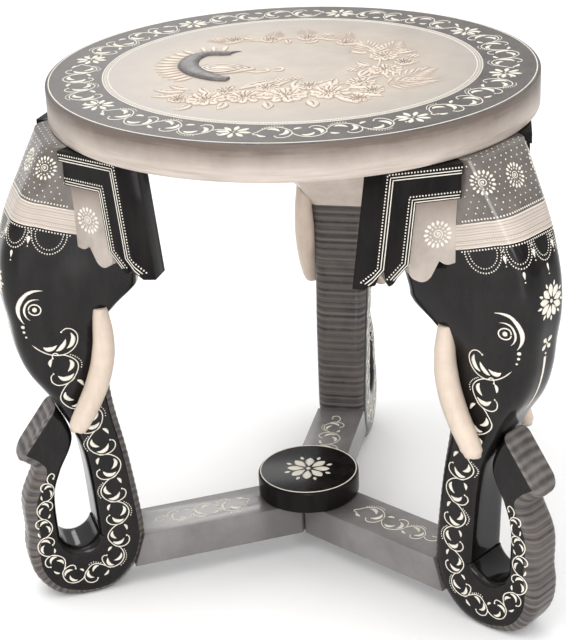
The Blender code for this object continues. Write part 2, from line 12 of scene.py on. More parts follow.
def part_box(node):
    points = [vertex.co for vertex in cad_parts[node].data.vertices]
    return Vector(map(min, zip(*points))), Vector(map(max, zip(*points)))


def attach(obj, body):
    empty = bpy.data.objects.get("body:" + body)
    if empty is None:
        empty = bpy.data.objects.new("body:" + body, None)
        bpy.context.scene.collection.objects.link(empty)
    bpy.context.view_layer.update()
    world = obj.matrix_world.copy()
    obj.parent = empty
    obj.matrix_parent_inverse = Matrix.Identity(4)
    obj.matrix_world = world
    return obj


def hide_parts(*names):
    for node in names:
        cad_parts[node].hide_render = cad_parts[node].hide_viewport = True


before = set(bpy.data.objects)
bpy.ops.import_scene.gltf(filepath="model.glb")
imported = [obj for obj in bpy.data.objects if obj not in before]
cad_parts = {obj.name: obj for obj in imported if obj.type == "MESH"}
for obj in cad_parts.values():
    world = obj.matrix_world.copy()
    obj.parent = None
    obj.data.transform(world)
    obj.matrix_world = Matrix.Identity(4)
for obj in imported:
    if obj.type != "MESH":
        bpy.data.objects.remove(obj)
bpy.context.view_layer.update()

bl_info = {
    "name": "Elephant side table",
    "version": (1, 0, 0),
    "blender": (4, 5, 0),
    "location": "View3D > Sidebar > Side table",
    "description": "Carved and painted pieces of a round side table on elephant-head legs",
    "category": "Object",
}

LEG_ANGLES = {"rear": 90.0, "left": 210.0, "right": 330.0}
SIDES = {"left": 1.0, "right": -1.0}

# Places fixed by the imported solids, in metres
TOP_LOW, TOP_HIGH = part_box("table_top")
RIM = TOP_HIGH.x
UNDERSIDE = TOP_LOW.z
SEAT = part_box("rear_leg")[1].z
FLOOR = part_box("rear_leg")[0].z
ARM_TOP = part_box("rear_stretcher_arm")[1].z
BOSS_LOW, BOSS_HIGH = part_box("centre_boss")

# How near a level face a point counts as lying on it, in metres
FACE_SLACK = 0.0006


class TableSizes(bpy.types.PropertyGroup):
    """Sizes of the carving and of the brushwork."""

    ridge_pitch: FloatProperty(
        name="Ridge pitch", description="Distance between trunk ridges", default=0.0064, unit="LENGTH"
    )
    ridge_depth: FloatProperty(
        name="Ridge depth", description="Depth of the grooves across a trunk", default=0.0004, unit="LENGTH"
    )
    line: FloatProperty(
        name="Line", description="Half width of a painted line", default=0.00046, unit="LENGTH"
    )
    dot: FloatProperty(name="Dot", description="Radius of a painted dot", default=0.00075, unit="LENGTH")
    paint: FloatProperty(
        name="Paint height", description="How far brushwork stands proud", default=0.0004, unit="LENGTH"
    )
    relief: FloatProperty(
        name="Relief height",
        description="How far the moulded ornament stands proud",
        default=0.0022,
        unit="LENGTH",
    )
    edge: FloatProperty(
        name="Edge", description="Width of the eased edges of sawn pieces", default=0.0009, unit="LENGTH"
    )
    field: FloatProperty(
        name="Field", description="Radius of the cream field on the top", default=0.1415, unit="LENGTH"
    )
    daisies: IntProperty(name="Daisies", description="Number of daisies round the border", default=8, min=3)


class TableColours(bpy.types.PropertyGroup):
    """Colours of the paints and of the hidden materials."""

    black: FloatVectorProperty(
        name="Black", description="Lacquer", subtype="COLOR", size=3, default=(0.0068, 0.0058, 0.0056)
    )
    grey: FloatVectorProperty(
        name="Grey", description="Grey paint", subtype="COLOR", size=3, default=(0.112, 0.101, 0.096)
    )
    cream: FloatVectorProperty(
        name="Cream", description="Ground of the top", subtype="COLOR", size=3, default=(0.600, 0.520, 0.440)
    )
    beige: FloatVectorProperty(
        name="Beige",
        description="Band, rim and ear panels",
        subtype="COLOR",
        size=3,
        default=(0.580, 0.500, 0.440),
    )
    ivory: FloatVectorProperty(
        name="Ivory", description="Tusks", subtype="COLOR", size=3, default=(0.610, 0.500, 0.410)
    )
    white: FloatVectorProperty(
        name="White", description="Brushwork", subtype="COLOR", size=3, default=(0.780, 0.735, 0.640)
    )
    cloth: FloatVectorProperty(
        name="Cloth", description="Head cloths", subtype="COLOR", size=3, default=(0.152, 0.131, 0.118)
    )
    stone: FloatVectorProperty(
        name="Stone", description="Stretcher", subtype="COLOR", size=3, default=(0.262, 0.246, 0.240)
    )
    # Umber is the brown of the antique streaks and wash, and also of the painted shade under the ear steps.
    umber: FloatVectorProperty(
        name="Umber", description="Brown shading", subtype="COLOR", size=3, default=(0.200, 0.150, 0.122)
    )
    wood: FloatVectorProperty(
        name="Wood", description="Bare dowels", subtype="COLOR", size=3, default=(0.420, 0.270, 0.150)
    )
    zinc: FloatVectorProperty(
        name="Zinc", description="Screws and pins", subtype="COLOR", size=3, default=(0.480, 0.480, 0.480)
    )
    floor: FloatVectorProperty(
        name="Floor", description="Studio floor", subtype="COLOR", size=3, default=(0.950, 0.950, 0.950)
    )


class TableStage(bpy.types.PropertyGroup):
    """Camera and light of the photographed view."""

    distance: FloatProperty(
        name="Distance", description="From the table's axis to the camera", default=1.2878, unit="LENGTH"
    )
    height: FloatProperty(
        name="Height", description="Camera above the top's face", default=0.3620, unit="LENGTH"
    )
    turn: FloatProperty(
        name="Turn", description="Turn of the view about the table", default=0.2189, subtype="ANGLE"
    )
    yaw: FloatProperty(
        name="Yaw", description="Aim beside the table's axis", default=-0.0057, subtype="ANGLE"
    )
    pitch: FloatProperty(name="Pitch", description="Tilt down", default=0.4259, subtype="ANGLE")
    roll: FloatProperty(name="Roll", description="Tilt of the horizon", default=-0.0425, subtype="ANGLE")
    lens: FloatProperty(
        name="Lens",
        description="Focal length for a 36 mm high frame",
        default=96.50,
        subtype="DISTANCE_CAMERA",
    )
    shift_x: FloatProperty(name="Shift X", description="Lens shift sideways", default=-0.0171)
    shift_y: FloatProperty(name="Shift Y", description="Lens shift upward", default=0.0139)
    key: FloatProperty(name="Key", description="Power of the overhead light", default=11.0, unit="POWER")
    fill: FloatProperty(name="Fill", description="Power of the front light", default=3.0, unit="POWER")
    strip: FloatProperty(
        name="Strip", description="Power of the narrow front light", default=7.0, unit="POWER"
    )
    back: FloatProperty(
        name="Back", description="Power of the light behind the table", default=7.0, unit="POWER"
    )
    sky: FloatProperty(name="Sky", description="Strength of the white surround overhead", default=1.30)
    horizon: FloatProperty(
        name="Horizon", description="Strength of the surround at the horizon", default=0.52
    )


# Small helpers for modelling


def settings():
    """The property groups of this scene: sizes, colours and stage."""
    scene = bpy.context.scene
    return scene.table_sizes, scene.table_colours, scene.table_stage


def select_only(obj):
    """Make one object the only selected and active one, in object mode."""
    if bpy.context.object and bpy.context.object.mode != "OBJECT":
        bpy.ops.object.mode_set(mode="OBJECT")
    bpy.ops.object.select_all(action="DESELECT")
    obj.select_set(True)
    bpy.context.view_layer.objects.active = obj
    return obj


def edit_all(obj):
    """Enter edit mode with the whole mesh selected."""
    select_only(obj)
    bpy.ops.object.mode_set(mode="EDIT")
    bpy.ops.mesh.select_all(action="SELECT")


def close_up(obj, gap=1e-6):
    """Merge doubled points and turn the faces outward."""
    edit_all(obj)
    bpy.ops.mesh.remove_doubles(threshold=gap)
    bpy.ops.mesh.normals_make_consistent(inside=False)
    bpy.ops.object.mode_set(mode="OBJECT")
    bpy.ops.object.shade_smooth()
    return obj


def coordinates(mesh):
    """The points of a mesh as an array."""
    flat = np.zeros(len(mesh.vertices) * 3, np.float32)
    mesh.vertices.foreach_get("co", flat)
    return flat.reshape(-1, 3).astype(float)


def set_coordinates(mesh, points):
    """Move the points of a mesh."""
    mesh.vertices.foreach_set("co", np.asarray(points, np.float32).ravel())
    mesh.update()


def add_vectors(mesh, name, values):
    """Store one vector for each point of a mesh."""
    layer = mesh.attributes.new(name, "FLOAT_VECTOR", "POINT")
    layer.data.foreach_set("vector", np.asarray(values, np.float32).ravel())


def rolled(name, rings, layers=None):
    """A closed skin: a grid is rolled round a stack of rings, and its seam and poles are merged."""
    rows, columns = rings.shape[:2]
    bpy.ops.object.select_all(action="DESELECT")
    bpy.ops.mesh.primitive_grid_add(x_subdivisions=columns, y_subdivisions=rows - 1, size=1.0)
    obj = bpy.context.object
    obj.name = obj.data.name = name
    closed = np.concatenate([rings, rings[:, :1]], axis=1)
    set_coordinates(obj.data, closed.reshape(-1, 3))
    for layer, values in (layers or {}).items():
        add_vectors(obj.data, layer, np.concatenate([values, values[:, :1]], axis=1).reshape(-1, 3))
    return close_up(obj)


def node_copy(name, node):
    """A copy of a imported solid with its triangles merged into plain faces."""
    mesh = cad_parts[node].data.copy()
    mesh.name = name
    mesh.materials.clear()
    obj = bpy.data.objects.new(name, mesh)
    bpy.context.scene.collection.objects.link(obj)
    edit_all(obj)
    bpy.ops.mesh.customdata_custom_splitnormals_clear()
    bpy.ops.mesh.remove_doubles(threshold=1e-6)
    bpy.ops.mesh.dissolve_limited(angle_limit=math.radians(1.0))
    bpy.ops.object.mode_set(mode="OBJECT")
    return obj


def eased(obj, width, segments=3, angle=30.0):
    """Round the sharp edges of a piece and smooth the rest."""
    select_only(obj)
    step = obj.modifiers.new("Edges", "BEVEL")
    step.width = width
    step.segments = segments
    step.limit_method = "ANGLE"
    step.angle_limit = math.radians(angle)
    step.use_clamp_overlap = True
    bpy.ops.object.modifier_apply(modifier=step.name)
    bpy.ops.object.shade_smooth_by_angle(angle=math.radians(35.0))
    return obj


def turned_copy(obj, name, angle, mirror=False):
    """A copy with its own mesh, turned about the table's axis or mirrored across the leg."""
    mesh = obj.data.copy()
    mesh.name = name
    if mirror:
        mesh.transform(Matrix.Scale(-1.0, 4, (0.0, 1.0, 0.0)))
        mesh.flip_normals()
    mesh.transform(Matrix.Rotation(math.radians(angle), 4, "Z"))
    copy = bpy.data.objects.new(name, mesh)
    bpy.context.scene.collection.objects.link(copy)
    return copy


def joined(name, pieces):
    """Join pieces into one mesh object."""
    select_only(pieces[0])
    for piece in pieces[1:]:
        piece.select_set(True)
    bpy.ops.object.join()
    pieces[0].name = pieces[0].data.name = name
    return pieces[0]


def dropped(obj):
    """Remove a working object."""
    bpy.data.objects.remove(obj, do_unlink=True)


def fitted(obj, slot, *materials, nodes=()):
    """Give a finished piece its materials and its body, and hide the imported nodes it stands for; the slot
    is not used.
    """
    for material in materials:
        if material.name not in obj.data.materials:
            obj.data.materials.append(material)
    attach(obj, "root")
    if nodes:
        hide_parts(*nodes)
    return obj


def surface(obj):
    """A search tree of a piece's faces, for laying brushwork on it."""
    mesh = obj.data
    return BVHTree.FromPolygons([v.co for v in mesh.vertices], [tuple(p.vertices) for p in mesh.polygons])


# Materials


class Finish:
    """A material and short ways to add its nodes."""

    def __init__(self, name):
        self.material = bpy.data.materials.new(name)
        self.material.use_nodes = True
        self.tree = self.material.node_tree
        self.shader = self.tree.nodes["Principled BSDF"]

    def node(self, kind, inputs, output=0, **choices):
        """Add a node, set or link its inputs and return one of its outputs."""
        made = self.tree.nodes.new(kind)
        for key, value in choices.items():
            setattr(made, key, value)
        for key, value in inputs.items():
            self.put(made.inputs[key], value)
        return made.outputs[output]

    def put(self, socket, value):
        """Link a socket or set its value."""
        if isinstance(value, bpy.types.NodeSocket):
            self.tree.links.new(value, socket)
        else:
            socket.default_value = value

    def place(self):
        """The piece's own coordinates."""
        return self.node("ShaderNodeTexCoord", {}, "Object")

    def stored(self, name):
        """A vector stored on the mesh."""
        return self.node("ShaderNodeAttribute", {}, "Vector", attribute_name=name)

    def parts(self, vector):
        """The three parts of a vector."""
        split = self.tree.nodes.new("ShaderNodeSeparateXYZ")
        self.tree.links.new(vector, split.inputs[0])
        return split.outputs

    def math(self, operation, a, b=0.0):
        """One arithmetic step."""
        return self.node("ShaderNodeMath", {0: a, 1: b}, operation=operation)

    def plus(self, a, b):
        """The sum of two values."""
        return self.math("ADD", a, b)

    def minus(self, a, b):
        """The difference of two values."""
        return self.math("SUBTRACT", a, b)

    def times(self, a, b):
        """The product of two values."""
        return self.math("MULTIPLY", a, b)

    def above(self, a, b):
        """One where the first value is greater, zero elsewhere."""
        return self.math("GREATER_THAN", a, b)

    def below(self, a, b):
        """One where the first value is less, zero elsewhere."""
        return self.math("LESS_THAN", a, b)

    def larger(self, a, b):
        """The larger of two values."""
        return self.math("MAXIMUM", a, b)

    def ramp(self, value, low, high, start=0.0, stop=1.0):
        """A value taken from one range to another and held at its ends."""
        return self.node("ShaderNodeMapRange", {0: value, 1: low, 2: high, 3: start, 4: stop})

    def radius(self, vector):
        """Distance from the table's axis."""
        x, y, _ = self.parts(vector)
        return self.math("SQRT", self.plus(self.times(x, x), self.times(y, y)))

    def scaled(self, vector, scale):
        """Coordinates stretched along each axis."""
        return self.node("ShaderNodeMapping", {"Vector": vector, "Scale": scale})

    def noise(self, vector, scale, detail=4.0, roughness=0.55):
        """Cloudy noise."""
        values = {"Vector": vector, "Scale": scale, "Detail": detail, "Roughness": roughness}
        return self.node("ShaderNodeTexNoise", values)

    def strokes(self, value):
        """Uneven strokes across one measure, as a brush leaves them."""
        values = {"W": value, "Scale": 1.0, "Detail": 2.0, "Roughness": 0.6}
        return self.node("ShaderNodeTexNoise", values, noise_dimensions="1D")

    def mix(self, share, a, b):
        """A colour between two colours."""
        made = self.tree.nodes.new("ShaderNodeMix")
        made.data_type = "RGBA"
        self.put(made.inputs[0], share)
        self.put(made.inputs[6], a)
        self.put(made.inputs[7], b)
        return made.outputs[2]

    def varied(self, value, low, high, colour, dark, light):
        """A colour that goes from a darker to a lighter shade as a value goes from low to high."""
        return self.mix(self.ramp(value, low, high), shade(colour, dark), shade(colour, light))

    def bump(self, height, distance, strength=1.0):
        """A normal from a height, which the distance scales to metres."""
        return self.node("ShaderNodeBump", {"Height": height, "Distance": distance, "Strength": strength})

    def done(self, **values):
        """Set or link the shader's sockets."""
        for key, value in values.items():
            self.put(self.shader.inputs[key.replace("_", " ").title().replace("Ior", "IOR")], value)
        return self.material


def shade(colour, factor):
    """A colour made lighter or darker, with full cover."""
    return tuple(min(1.0, part * factor) for part in colour) + (1.0,)


def kept(make):
    """A material named after the function that makes it the first time it is asked for."""
    return bpy.data.materials.get(make.__name__) or make(make.__name__)


def brushed_black(finish, place):
    """Black lacquer colour with soft brush marks."""
    black = settings()[1].black
    marks = finish.noise(finish.scaled(place, (70.0, 70.0, 22.0)), 1.0, 5.0, 0.6)
    return finish.varied(marks, 0.35, 0.72, black, 0.72, 1.9), marks


def gloss_black(name):
    """Glossy black lacquer of ears and boss."""
    finish = Finish(name)
    place = finish.place()
    colour, marks = brushed_black(finish, place)
    fine = finish.noise(place, 420.0, 3.0)
    return finish.done(
        base_color=colour,
        roughness=finish.ramp(marks, 0.2, 0.8, 0.20, 0.36),
        normal=finish.bump(finish.plus(marks, finish.times(fine, 0.15)), 0.0004, 0.30),
        specular_ior_level=0.02,
        coat_weight=0.15,
        coat_roughness=0.14,
    )


def painted_leg(name):
    """The legs' paints: grey headcloth, striped band, black face and trunk, beige nape, grey ridges."""
    sizes, colours, _ = settings()
    finish = Finish(name)
    place = finish.stored("place")
    out, _, up = finish.parts(place)
    along, part, tip = finish.parts(finish.stored("wrap"))
    black, marks = brushed_black(finish, place)
    cloud = finish.noise(place, 55.0, 5.0, 0.6)

    # Where each paint lies: one inside it, zero outside
    level = finish.minus(up, finish.times(finish.minus(out, RIM), BAND_RISE))
    in_cloth, in_band = finish.above(level, CLOTH_LOW), finish.above(level, BAND_LOW)
    behind = finish.below(part, finish.ramp(out, *CURL_START, TRUNK_PAINT, CURL_PAINT))
    on_ridges = finish.times(behind, finish.below(up, NAPE_END))
    on_nape = finish.times(finish.below(part, NAPE_PAINT), finish.above(up, NAPE_END))
    on_tip = finish.above(tip, 0.5)

    cloth = finish.varied(cloud, 0.3, 0.7, colours.cloth, 0.62, 1.02)
    drift = finish.plus(level, finish.times(cloud, BAND_STRIPE * 0.7))
    lines = finish.strokes(finish.math("DIVIDE", drift, BAND_STRIPE))
    band = finish.varied(lines, 0.30, 0.62, colours.beige, 0.52, 1.06)
    band = finish.mix(finish.ramp(cloud, 0.35, 0.75, 0.0, 0.40), band, shade(colours.beige, 0.66))
    nape = finish.varied(cloud, 0.3, 0.7, colours.beige, 0.88, 1.10)
    wave = finish.math("SINE", finish.times(along, 2 * math.pi / sizes.ridge_pitch))
    brush = finish.strokes(finish.math("DIVIDE", along, sizes.ridge_pitch * 0.42))
    crest = finish.plus(finish.times(wave, 0.16), finish.times(cloud, 0.6))
    crest = finish.plus(crest, finish.times(brush, 0.9))
    ridged = finish.varied(crest, 0.45, 1.05, colours.grey, 0.42, 1.46)
    ridged = finish.mix(finish.ramp(cloud, 0.45, 0.72, 0.0, 0.30), ridged, shade(colours.umber, 0.50))
    bars = finish.math("SINE", finish.times(up, 2 * math.pi / sizes.ridge_pitch))
    crest = finish.plus(finish.times(bars, 0.25), finish.times(cloud, 1.1))
    barred = finish.varied(crest, 0.20, 0.85, colours.grey, 0.60, 1.60)

    colour = finish.mix(on_ridges, black, ridged)
    colour = finish.mix(on_tip, colour, barred)
    colour = finish.mix(in_band, colour, band)
    colour = finish.mix(in_cloth, colour, cloth)
    colour = finish.mix(on_nape, colour, nape)
    varnish = finish.ramp(finish.larger(on_ridges, on_tip), 0.0, 1.0, 0.38, 0.06)
    matt = finish.times(finish.larger(in_band, on_nape), 0.08)
    height = finish.plus(marks, finish.times(finish.times(lines, in_band), 0.25))
    return finish.done(
        base_color=colour,
        roughness=finish.plus(finish.ramp(marks, 0.2, 0.8, 0.15, 0.27), matt),
        normal=finish.bump(height, 0.0005, 0.30),
        specular_ior_level=0.05,
        coat_weight=finish.plus(varnish, finish.times(in_cloth, 0.50)),
        coat_roughness=0.10,
    )


def rubbed_grey(name):
    """Satin grey paint of the stretcher, rubbed and clouded, with painted light that makes the tops lighter
    than the sides, and darker near the boss and the trunks.
    """
    stone = settings()[1].stone
    finish = Finish(name)
    place = finish.place()
    radius = finish.radius(place)
    cloud = finish.noise(place, 38.0, 6.0, 0.62)
    grain = finish.noise(finish.scaled(place, (160.0, 160.0, 60.0)), 1.0, 4.0)
    # Painted light: the top faces take a lighter shade of the grey than the sides.
    lit_top = finish.above(finish.parts(place)[2], ARM_TOP - FACE_SLACK)
    side = finish.varied(cloud, 0.28, 0.74, stone, 0.50, 0.82)
    upper = finish.varied(cloud, 0.28, 0.74, stone, 0.50, 0.88)
    colour = finish.mix(lit_top, side, upper)
    colour = finish.mix(finish.ramp(grain, 0.55, 0.75, 0.0, 0.30), colour, shade(stone, 0.55))
    # The grey turns darker in mottled patches near the boss and near the trunks.
    near = finish.ramp(radius, *BOSS_DARKENING, 1.0, 0.0)
    far = finish.ramp(radius, *TRUNK_DARKENING, 0.0, 1.0)
    joint_darkening = finish.times(finish.larger(near, far), finish.ramp(cloud, 0.25, 0.7, 0.35, 0.9))
    colour = finish.mix(joint_darkening, colour, shade(stone, 0.30))
    return finish.done(
        base_color=colour,
        roughness=finish.ramp(cloud, 0.2, 0.8, 0.34, 0.50),
        normal=finish.bump(grain, 0.0004, 0.30),
        coat_weight=0.50,
        coat_roughness=0.20,
    )


def ear_panel(name):
    """Beige paint of the ear panels, with painted brown shade under the step above them."""
    beige, umber = settings()[1].beige, settings()[1].umber
    finish = Finish(name)
    place = finish.place()
    up = finish.parts(place)[2]
    cloud = finish.noise(place, 45.0, 5.0, 0.6)
    streak = finish.noise(finish.scaled(place, (150.0, 150.0, 18.0)), 1.0, 4.0)
    colour = finish.varied(cloud, 0.3, 0.7, beige, 0.54, 0.84)
    colour = finish.mix(finish.ramp(streak, 0.5, 0.8, 0.0, 0.40), colour, shade(umber, 1.6))
    # Painted shade: the panel's top turns brown where the step above overhangs it.
    top = SEAT - EAR_BANDS[1][1]
    step_shadow = finish.ramp(finish.plus(up, finish.times(cloud, 0.012)), top - 0.016, top + 0.006)
    colour = finish.mix(finish.times(step_shadow, 0.8), colour, shade(umber, 0.95))
    return finish.done(
        base_color=colour,
        roughness=finish.ramp(cloud, 0.2, 0.8, 0.36, 0.52),
        normal=finish.bump(streak, 0.0005, 0.30),
    )


def aged_ivory(name):
    """Ivory paint of the tusks, with faint growth lines."""
    ivory = settings()[1].ivory
    finish = Finish(name)
    place = finish.place()
    cloud = finish.noise(place, 60.0, 5.0, 0.6)
    streak = finish.noise(finish.scaled(place, (260.0, 260.0, 24.0)), 1.0, 4.0)
    colour = finish.varied(cloud, 0.3, 0.75, ivory, 0.90, 1.06)
    colour = finish.mix(finish.ramp(streak, 0.52, 0.80, 0.0, 0.35), colour, shade(ivory, 0.68))
    return finish.done(
        base_color=colour,
        roughness=finish.ramp(cloud, 0.2, 0.8, 0.36, 0.52),
        normal=finish.bump(streak, 0.0005, 0.30),
        coat_weight=0.10,
        coat_roughness=0.25,
    )


def white_brushwork(name):
    """Thick off-white brushwork."""
    white = settings()[1].white
    finish = Finish(name)
    cloud = finish.noise(finish.place(), 240.0, 4.0, 0.6)
    colour = finish.varied(cloud, 0.3, 0.7, white, 0.86, 1.06)
    return finish.done(
        base_color=colour,
        roughness=finish.ramp(cloud, 0.2, 0.8, 0.42, 0.60),
        normal=finish.bump(cloud, 0.0003, 0.30),
    )


def painted_top(name):
    """The top: beige brushed rim, grey border and cream field."""
    sizes, colours, _ = settings()
    finish = Finish(name)
    place = finish.place()
    z = finish.parts(place)[2]
    radius = finish.radius(place)
    cloud = finish.noise(place, 32.0, 6.0, 0.62)
    speck = finish.noise(place, 300.0, 3.0)
    streak = finish.noise(finish.scaled(place, (26.0, 26.0, 420.0)), 1.0, 5.0, 0.6)
    cream = finish.varied(cloud, 0.3, 0.7, colours.cream, 0.64, 0.85)
    worn = finish.plus(radius, finish.times(cloud, 0.030))
    cream = finish.mix(finish.ramp(worn, 0.120, 0.162, 0.0, 0.55), cream, shade(colours.stone, 1.35))
    grey = finish.varied(cloud, 0.3, 0.7, colours.grey, 0.54, 1.16)
    grey = finish.mix(finish.ramp(speck, 0.55, 0.75, 0.0, 0.35), grey, shade(colours.umber, 1.25))
    rim = finish.varied(streak, 0.3, 0.7, colours.beige, 0.66, 0.95)
    drag = finish.plus(z, finish.times(finish.minus(streak, 0.5), 0.012))
    upper = finish.ramp(finish.plus(drag, finish.times(cloud, 0.010)), -0.0155, 0.0010)
    rim = finish.mix(finish.times(upper, 0.94), rim, shade(colours.umber, 0.55))
    face = finish.mix(finish.above(radius, sizes.field + BORDER_RING), cream, grey)
    colour = finish.mix(finish.above(z, -FACE_SLACK), rim, face)
    under = finish.below(z, UNDERSIDE + FACE_SLACK)
    colour = finish.mix(under, colour, shade(colours.beige, 0.8))
    return finish.done(
        base_color=colour,
        roughness=finish.ramp(cloud, 0.2, 0.8, 0.36, 0.52),
        normal=finish.bump(finish.plus(speck, streak), 0.0003, 0.25),
        specular_ior_level=0.25,
    )


def raised_cream(name):
    """Cream paint of the moulded ornament, with a brown wash left in its hollows."""
    colours = settings()[1]
    finish = Finish(name)
    place = finish.place()
    cloud = finish.noise(place, 90.0, 5.0, 0.6)
    colour = finish.varied(cloud, 0.3, 0.7, colours.cream, 1.06, 1.28)
    wash = finish.ramp(finish.parts(place)[2], 0.0001, 0.0009, 0.75, 0.0)
    return finish.done(
        base_color=finish.mix(wash, colour, shade(colours.umber, 1.6)),
        roughness=finish.ramp(cloud, 0.2, 0.8, 0.40, 0.56),
        normal=finish.bump(cloud, 0.0004, 0.30),
    )


def brown_line(name):
    """Thin brown shading lines on the moulded ornament."""
    umber = settings()[1].umber
    finish = Finish(name)
    cloud = finish.noise(finish.place(), 150.0, 4.0, 0.6)
    return finish.done(
        base_color=finish.varied(cloud, 0.3, 0.7, umber, 0.85, 1.45),
        roughness=finish.ramp(cloud, 0.2, 0.8, 0.42, 0.58),
        normal=finish.bump(cloud, 0.0002, 0.30),
    )


def bird_grey(name):
    """Grey paint of the moulded bird, with small scaly feathers."""
    colours = settings()[1]
    finish = Finish(name)
    place = finish.place()
    cells = finish.node("ShaderNodeTexVoronoi", {"Vector": place, "Scale": 330.0}, "Distance")
    cloud = finish.noise(place, 120.0, 4.0, 0.6)
    colour = finish.varied(cells, 0.2, 0.75, colours.grey, 0.80, 1.32)
    return finish.done(
        base_color=colour,
        roughness=finish.ramp(cloud, 0.2, 0.8, 0.36, 0.52),
        normal=finish.bump(cells, 0.0004, 0.35),
    )


def dowel_wood(name):
    """Bare wood of the hidden dowels."""
    wood = settings()[1].wood
    finish = Finish(name)
    grain = finish.noise(finish.scaled(finish.place(), (300.0, 300.0, 30.0)), 1.0, 5.0)
    return finish.done(
        base_color=finish.varied(grain, 0.3, 0.7, wood, 0.7, 1.2),
        roughness=finish.ramp(grain, 0.2, 0.8, 0.60, 0.80),
        normal=finish.bump(grain, 0.0003, 0.30),
    )


def zinc_plate(name):
    """Zinc-plated steel of bolts, screws and pins."""
    zinc = settings()[1].zinc
    finish = Finish(name)
    cloud = finish.noise(finish.place(), 500.0, 4.0)
    return finish.done(
        base_color=finish.varied(cloud, 0.3, 0.7, zinc, 0.8, 1.2),
        metallic=1.0,
        roughness=finish.ramp(cloud, 0.2, 0.8, 0.28, 0.50),
        normal=finish.bump(cloud, 0.0002, 0.20),
    )


def studio_floor(name):
    """Pale matt floor."""
    floor = settings()[1].floor
    finish = Finish(name)
    cloud = finish.noise(finish.place(), 3.0, 3.0)
    return finish.done(
        base_color=finish.mix(cloud, shade(floor, 0.995), shade(floor, 1.0)),
        roughness=0.85,
    )


# Carved legs


def between(a, b, share):
    """The value a share of the way from a to b."""
    return a + (b - a) * share


def smooth_path(stations, steps):
    """A smooth path that passes through every given row of numbers."""
    rows = np.asarray(stations, float)
    padded = np.concatenate([rows[:1], rows, rows[-1:]])
    path = []
    for p0, p1, p2, p3 in zip(padded, padded[1:], padded[2:], padded[3:]):
        for t in np.arange(steps) / steps:
            bend = 2 * p0 - 5 * p1 + 4 * p2 - p3
            twist = 3 * p1 - p0 - 3 * p2 + p3
            path.append(0.5 * (2 * p1 + (p2 - p0) * t + bend * t**2 + twist * t**3))
    path.append(rows[-1])
    return np.array(path)


# Sizes of a leg, outward from the rim, down from the seat or up from the floor
HEAD_WIDE, HEAD_SLIM, CROWN_SLIM = 0.042, 0.026, 0.036
CROWN_BACK, CROWN_FRONT, BROW_FRONT = -0.055, 0.010, 0.052
BROW_DROP, JAW_DROP, ROOT_DROP = 0.098, 0.116, 0.166
JAW_BACK, ROOT_BACK, ROOT_FRONT = -0.048, -0.019, 0.046
FACE_CORNER, BACK_CORNER, HOLE_CORNER = 0.017, 0.011, 0.007
LOOP_CENTRE, LOOP_HEIGHT, LOOP_HOLE = 0.0135, 0.060, 0.016
TRUNK_DEPTH, CURL_DEPTH, SOLE_DEPTH, HEEL_FULLNESS = 0.038, 0.0245, 0.0475, 0.0045
LOOP_WIDE, CURL_WIDE, TIP_WIDE = 0.0225, 0.019, 0.015
LIP_FRONT, LIP_HEIGHT, LIP_FLARE, LIP_NECK, TIP_HEIGHT = 0.054, 0.128, 0.0105, 0.013, 0.172
TRUNK_SECTIONS = [(0.10, 0.13, 0.10, 0.15), (0.34, 0.31, 0.26, 0.52), (0.64, 0.58, 0.66, 0.87)]
LOOP_Z = FLOOR + LOOP_HEIGHT
RING_GAP = 0.0014
RIDGE_FADE, RIDGE_PART, RIDGE_PART_FADE = 0.006, 1.7, 0.5
BACK_ROWS, ARC_ROWS, SIDE_ROWS, FRONT_ROWS = 3, 6, 10, 3

# Borders of the paints on a leg
BAND_RISE, BAND_STRIPE = 0.25, 0.0011
CLOTH_LOW, BAND_LOW = -0.0760, -0.0950
NAPE_END = -0.1775
NAPE_PAINT, TRUNK_PAINT, CURL_PAINT = 1.50, 1.68, 1.86
CURL_START = (RIM - 0.010, RIM + 0.020)


def head_stations():
    """Sections of the head: back x, z, front x, z, half width at back and front, front corner."""

    def station(drop_back, drop_front, back, front, wide, slim):
        return (RIM + back, SEAT - drop_back, RIM + front, SEAT - drop_front, wide, slim, FACE_CORNER)

    def forehead(share, forward, narrowing):
        drop = BROW_DROP * share
        front = between(CROWN_FRONT, BROW_FRONT, forward)
        slim = between(CROWN_SLIM, HEAD_SLIM, narrowing)
        return station(drop, drop, CROWN_BACK - 0.002, front, HEAD_WIDE, slim)

    def throat(back_share, front_share, back, front, narrowing):
        drop_back = between(JAW_DROP, ROOT_DROP, back_share)
        drop_front = between(JAW_DROP, ROOT_DROP, front_share)
        wide = between(HEAD_WIDE, HEAD_SLIM, narrowing)
        return station(drop_back, drop_front, back, front, wide, HEAD_SLIM)

    jaw_top = between(BROW_DROP, JAW_DROP, 0.4)
    return [
        station(0.0, 0.0, CROWN_BACK, CROWN_FRONT, HEAD_WIDE, CROWN_SLIM),
        forehead(0.28, 0.35, 0.30),
        forehead(0.56, 0.70, 0.68),
        forehead(0.83, 0.93, 1.0),
        station(jaw_top, BROW_DROP + 0.003, JAW_BACK - 0.002, BROW_FRONT, HEAD_WIDE, HEAD_SLIM),
        throat(0.0, 0.12, JAW_BACK, BROW_FRONT, 0.12),
        throat(0.33, 0.52, between(JAW_BACK, ROOT_BACK, 0.55), BROW_FRONT - 0.003, 0.45),
        throat(0.72, 1.0, ROOT_BACK, ROOT_FRONT, 0.85),
    ]


def trunk_stations():
    """Sections of the straight trunk."""
    root_z = SEAT - ROOT_DROP
    loop_front = RIM + LOOP_CENTRE - LOOP_HOLE
    stations = []
    for drop_back, drop_front, move_back, move_front in TRUNK_SECTIONS:
        half = between(HEAD_SLIM, LOOP_WIDE, drop_back)
        edges = (
            between(RIM + ROOT_BACK, loop_front - TRUNK_DEPTH, move_back),
            between(root_z, LOOP_Z, drop_back),
            between(RIM + ROOT_FRONT, loop_front, move_front),
            between(root_z, LOOP_Z, drop_front),
        )
        stations.append(edges + (half, half, between(FACE_CORNER, HOLE_CORNER, drop_front)))
    return stations


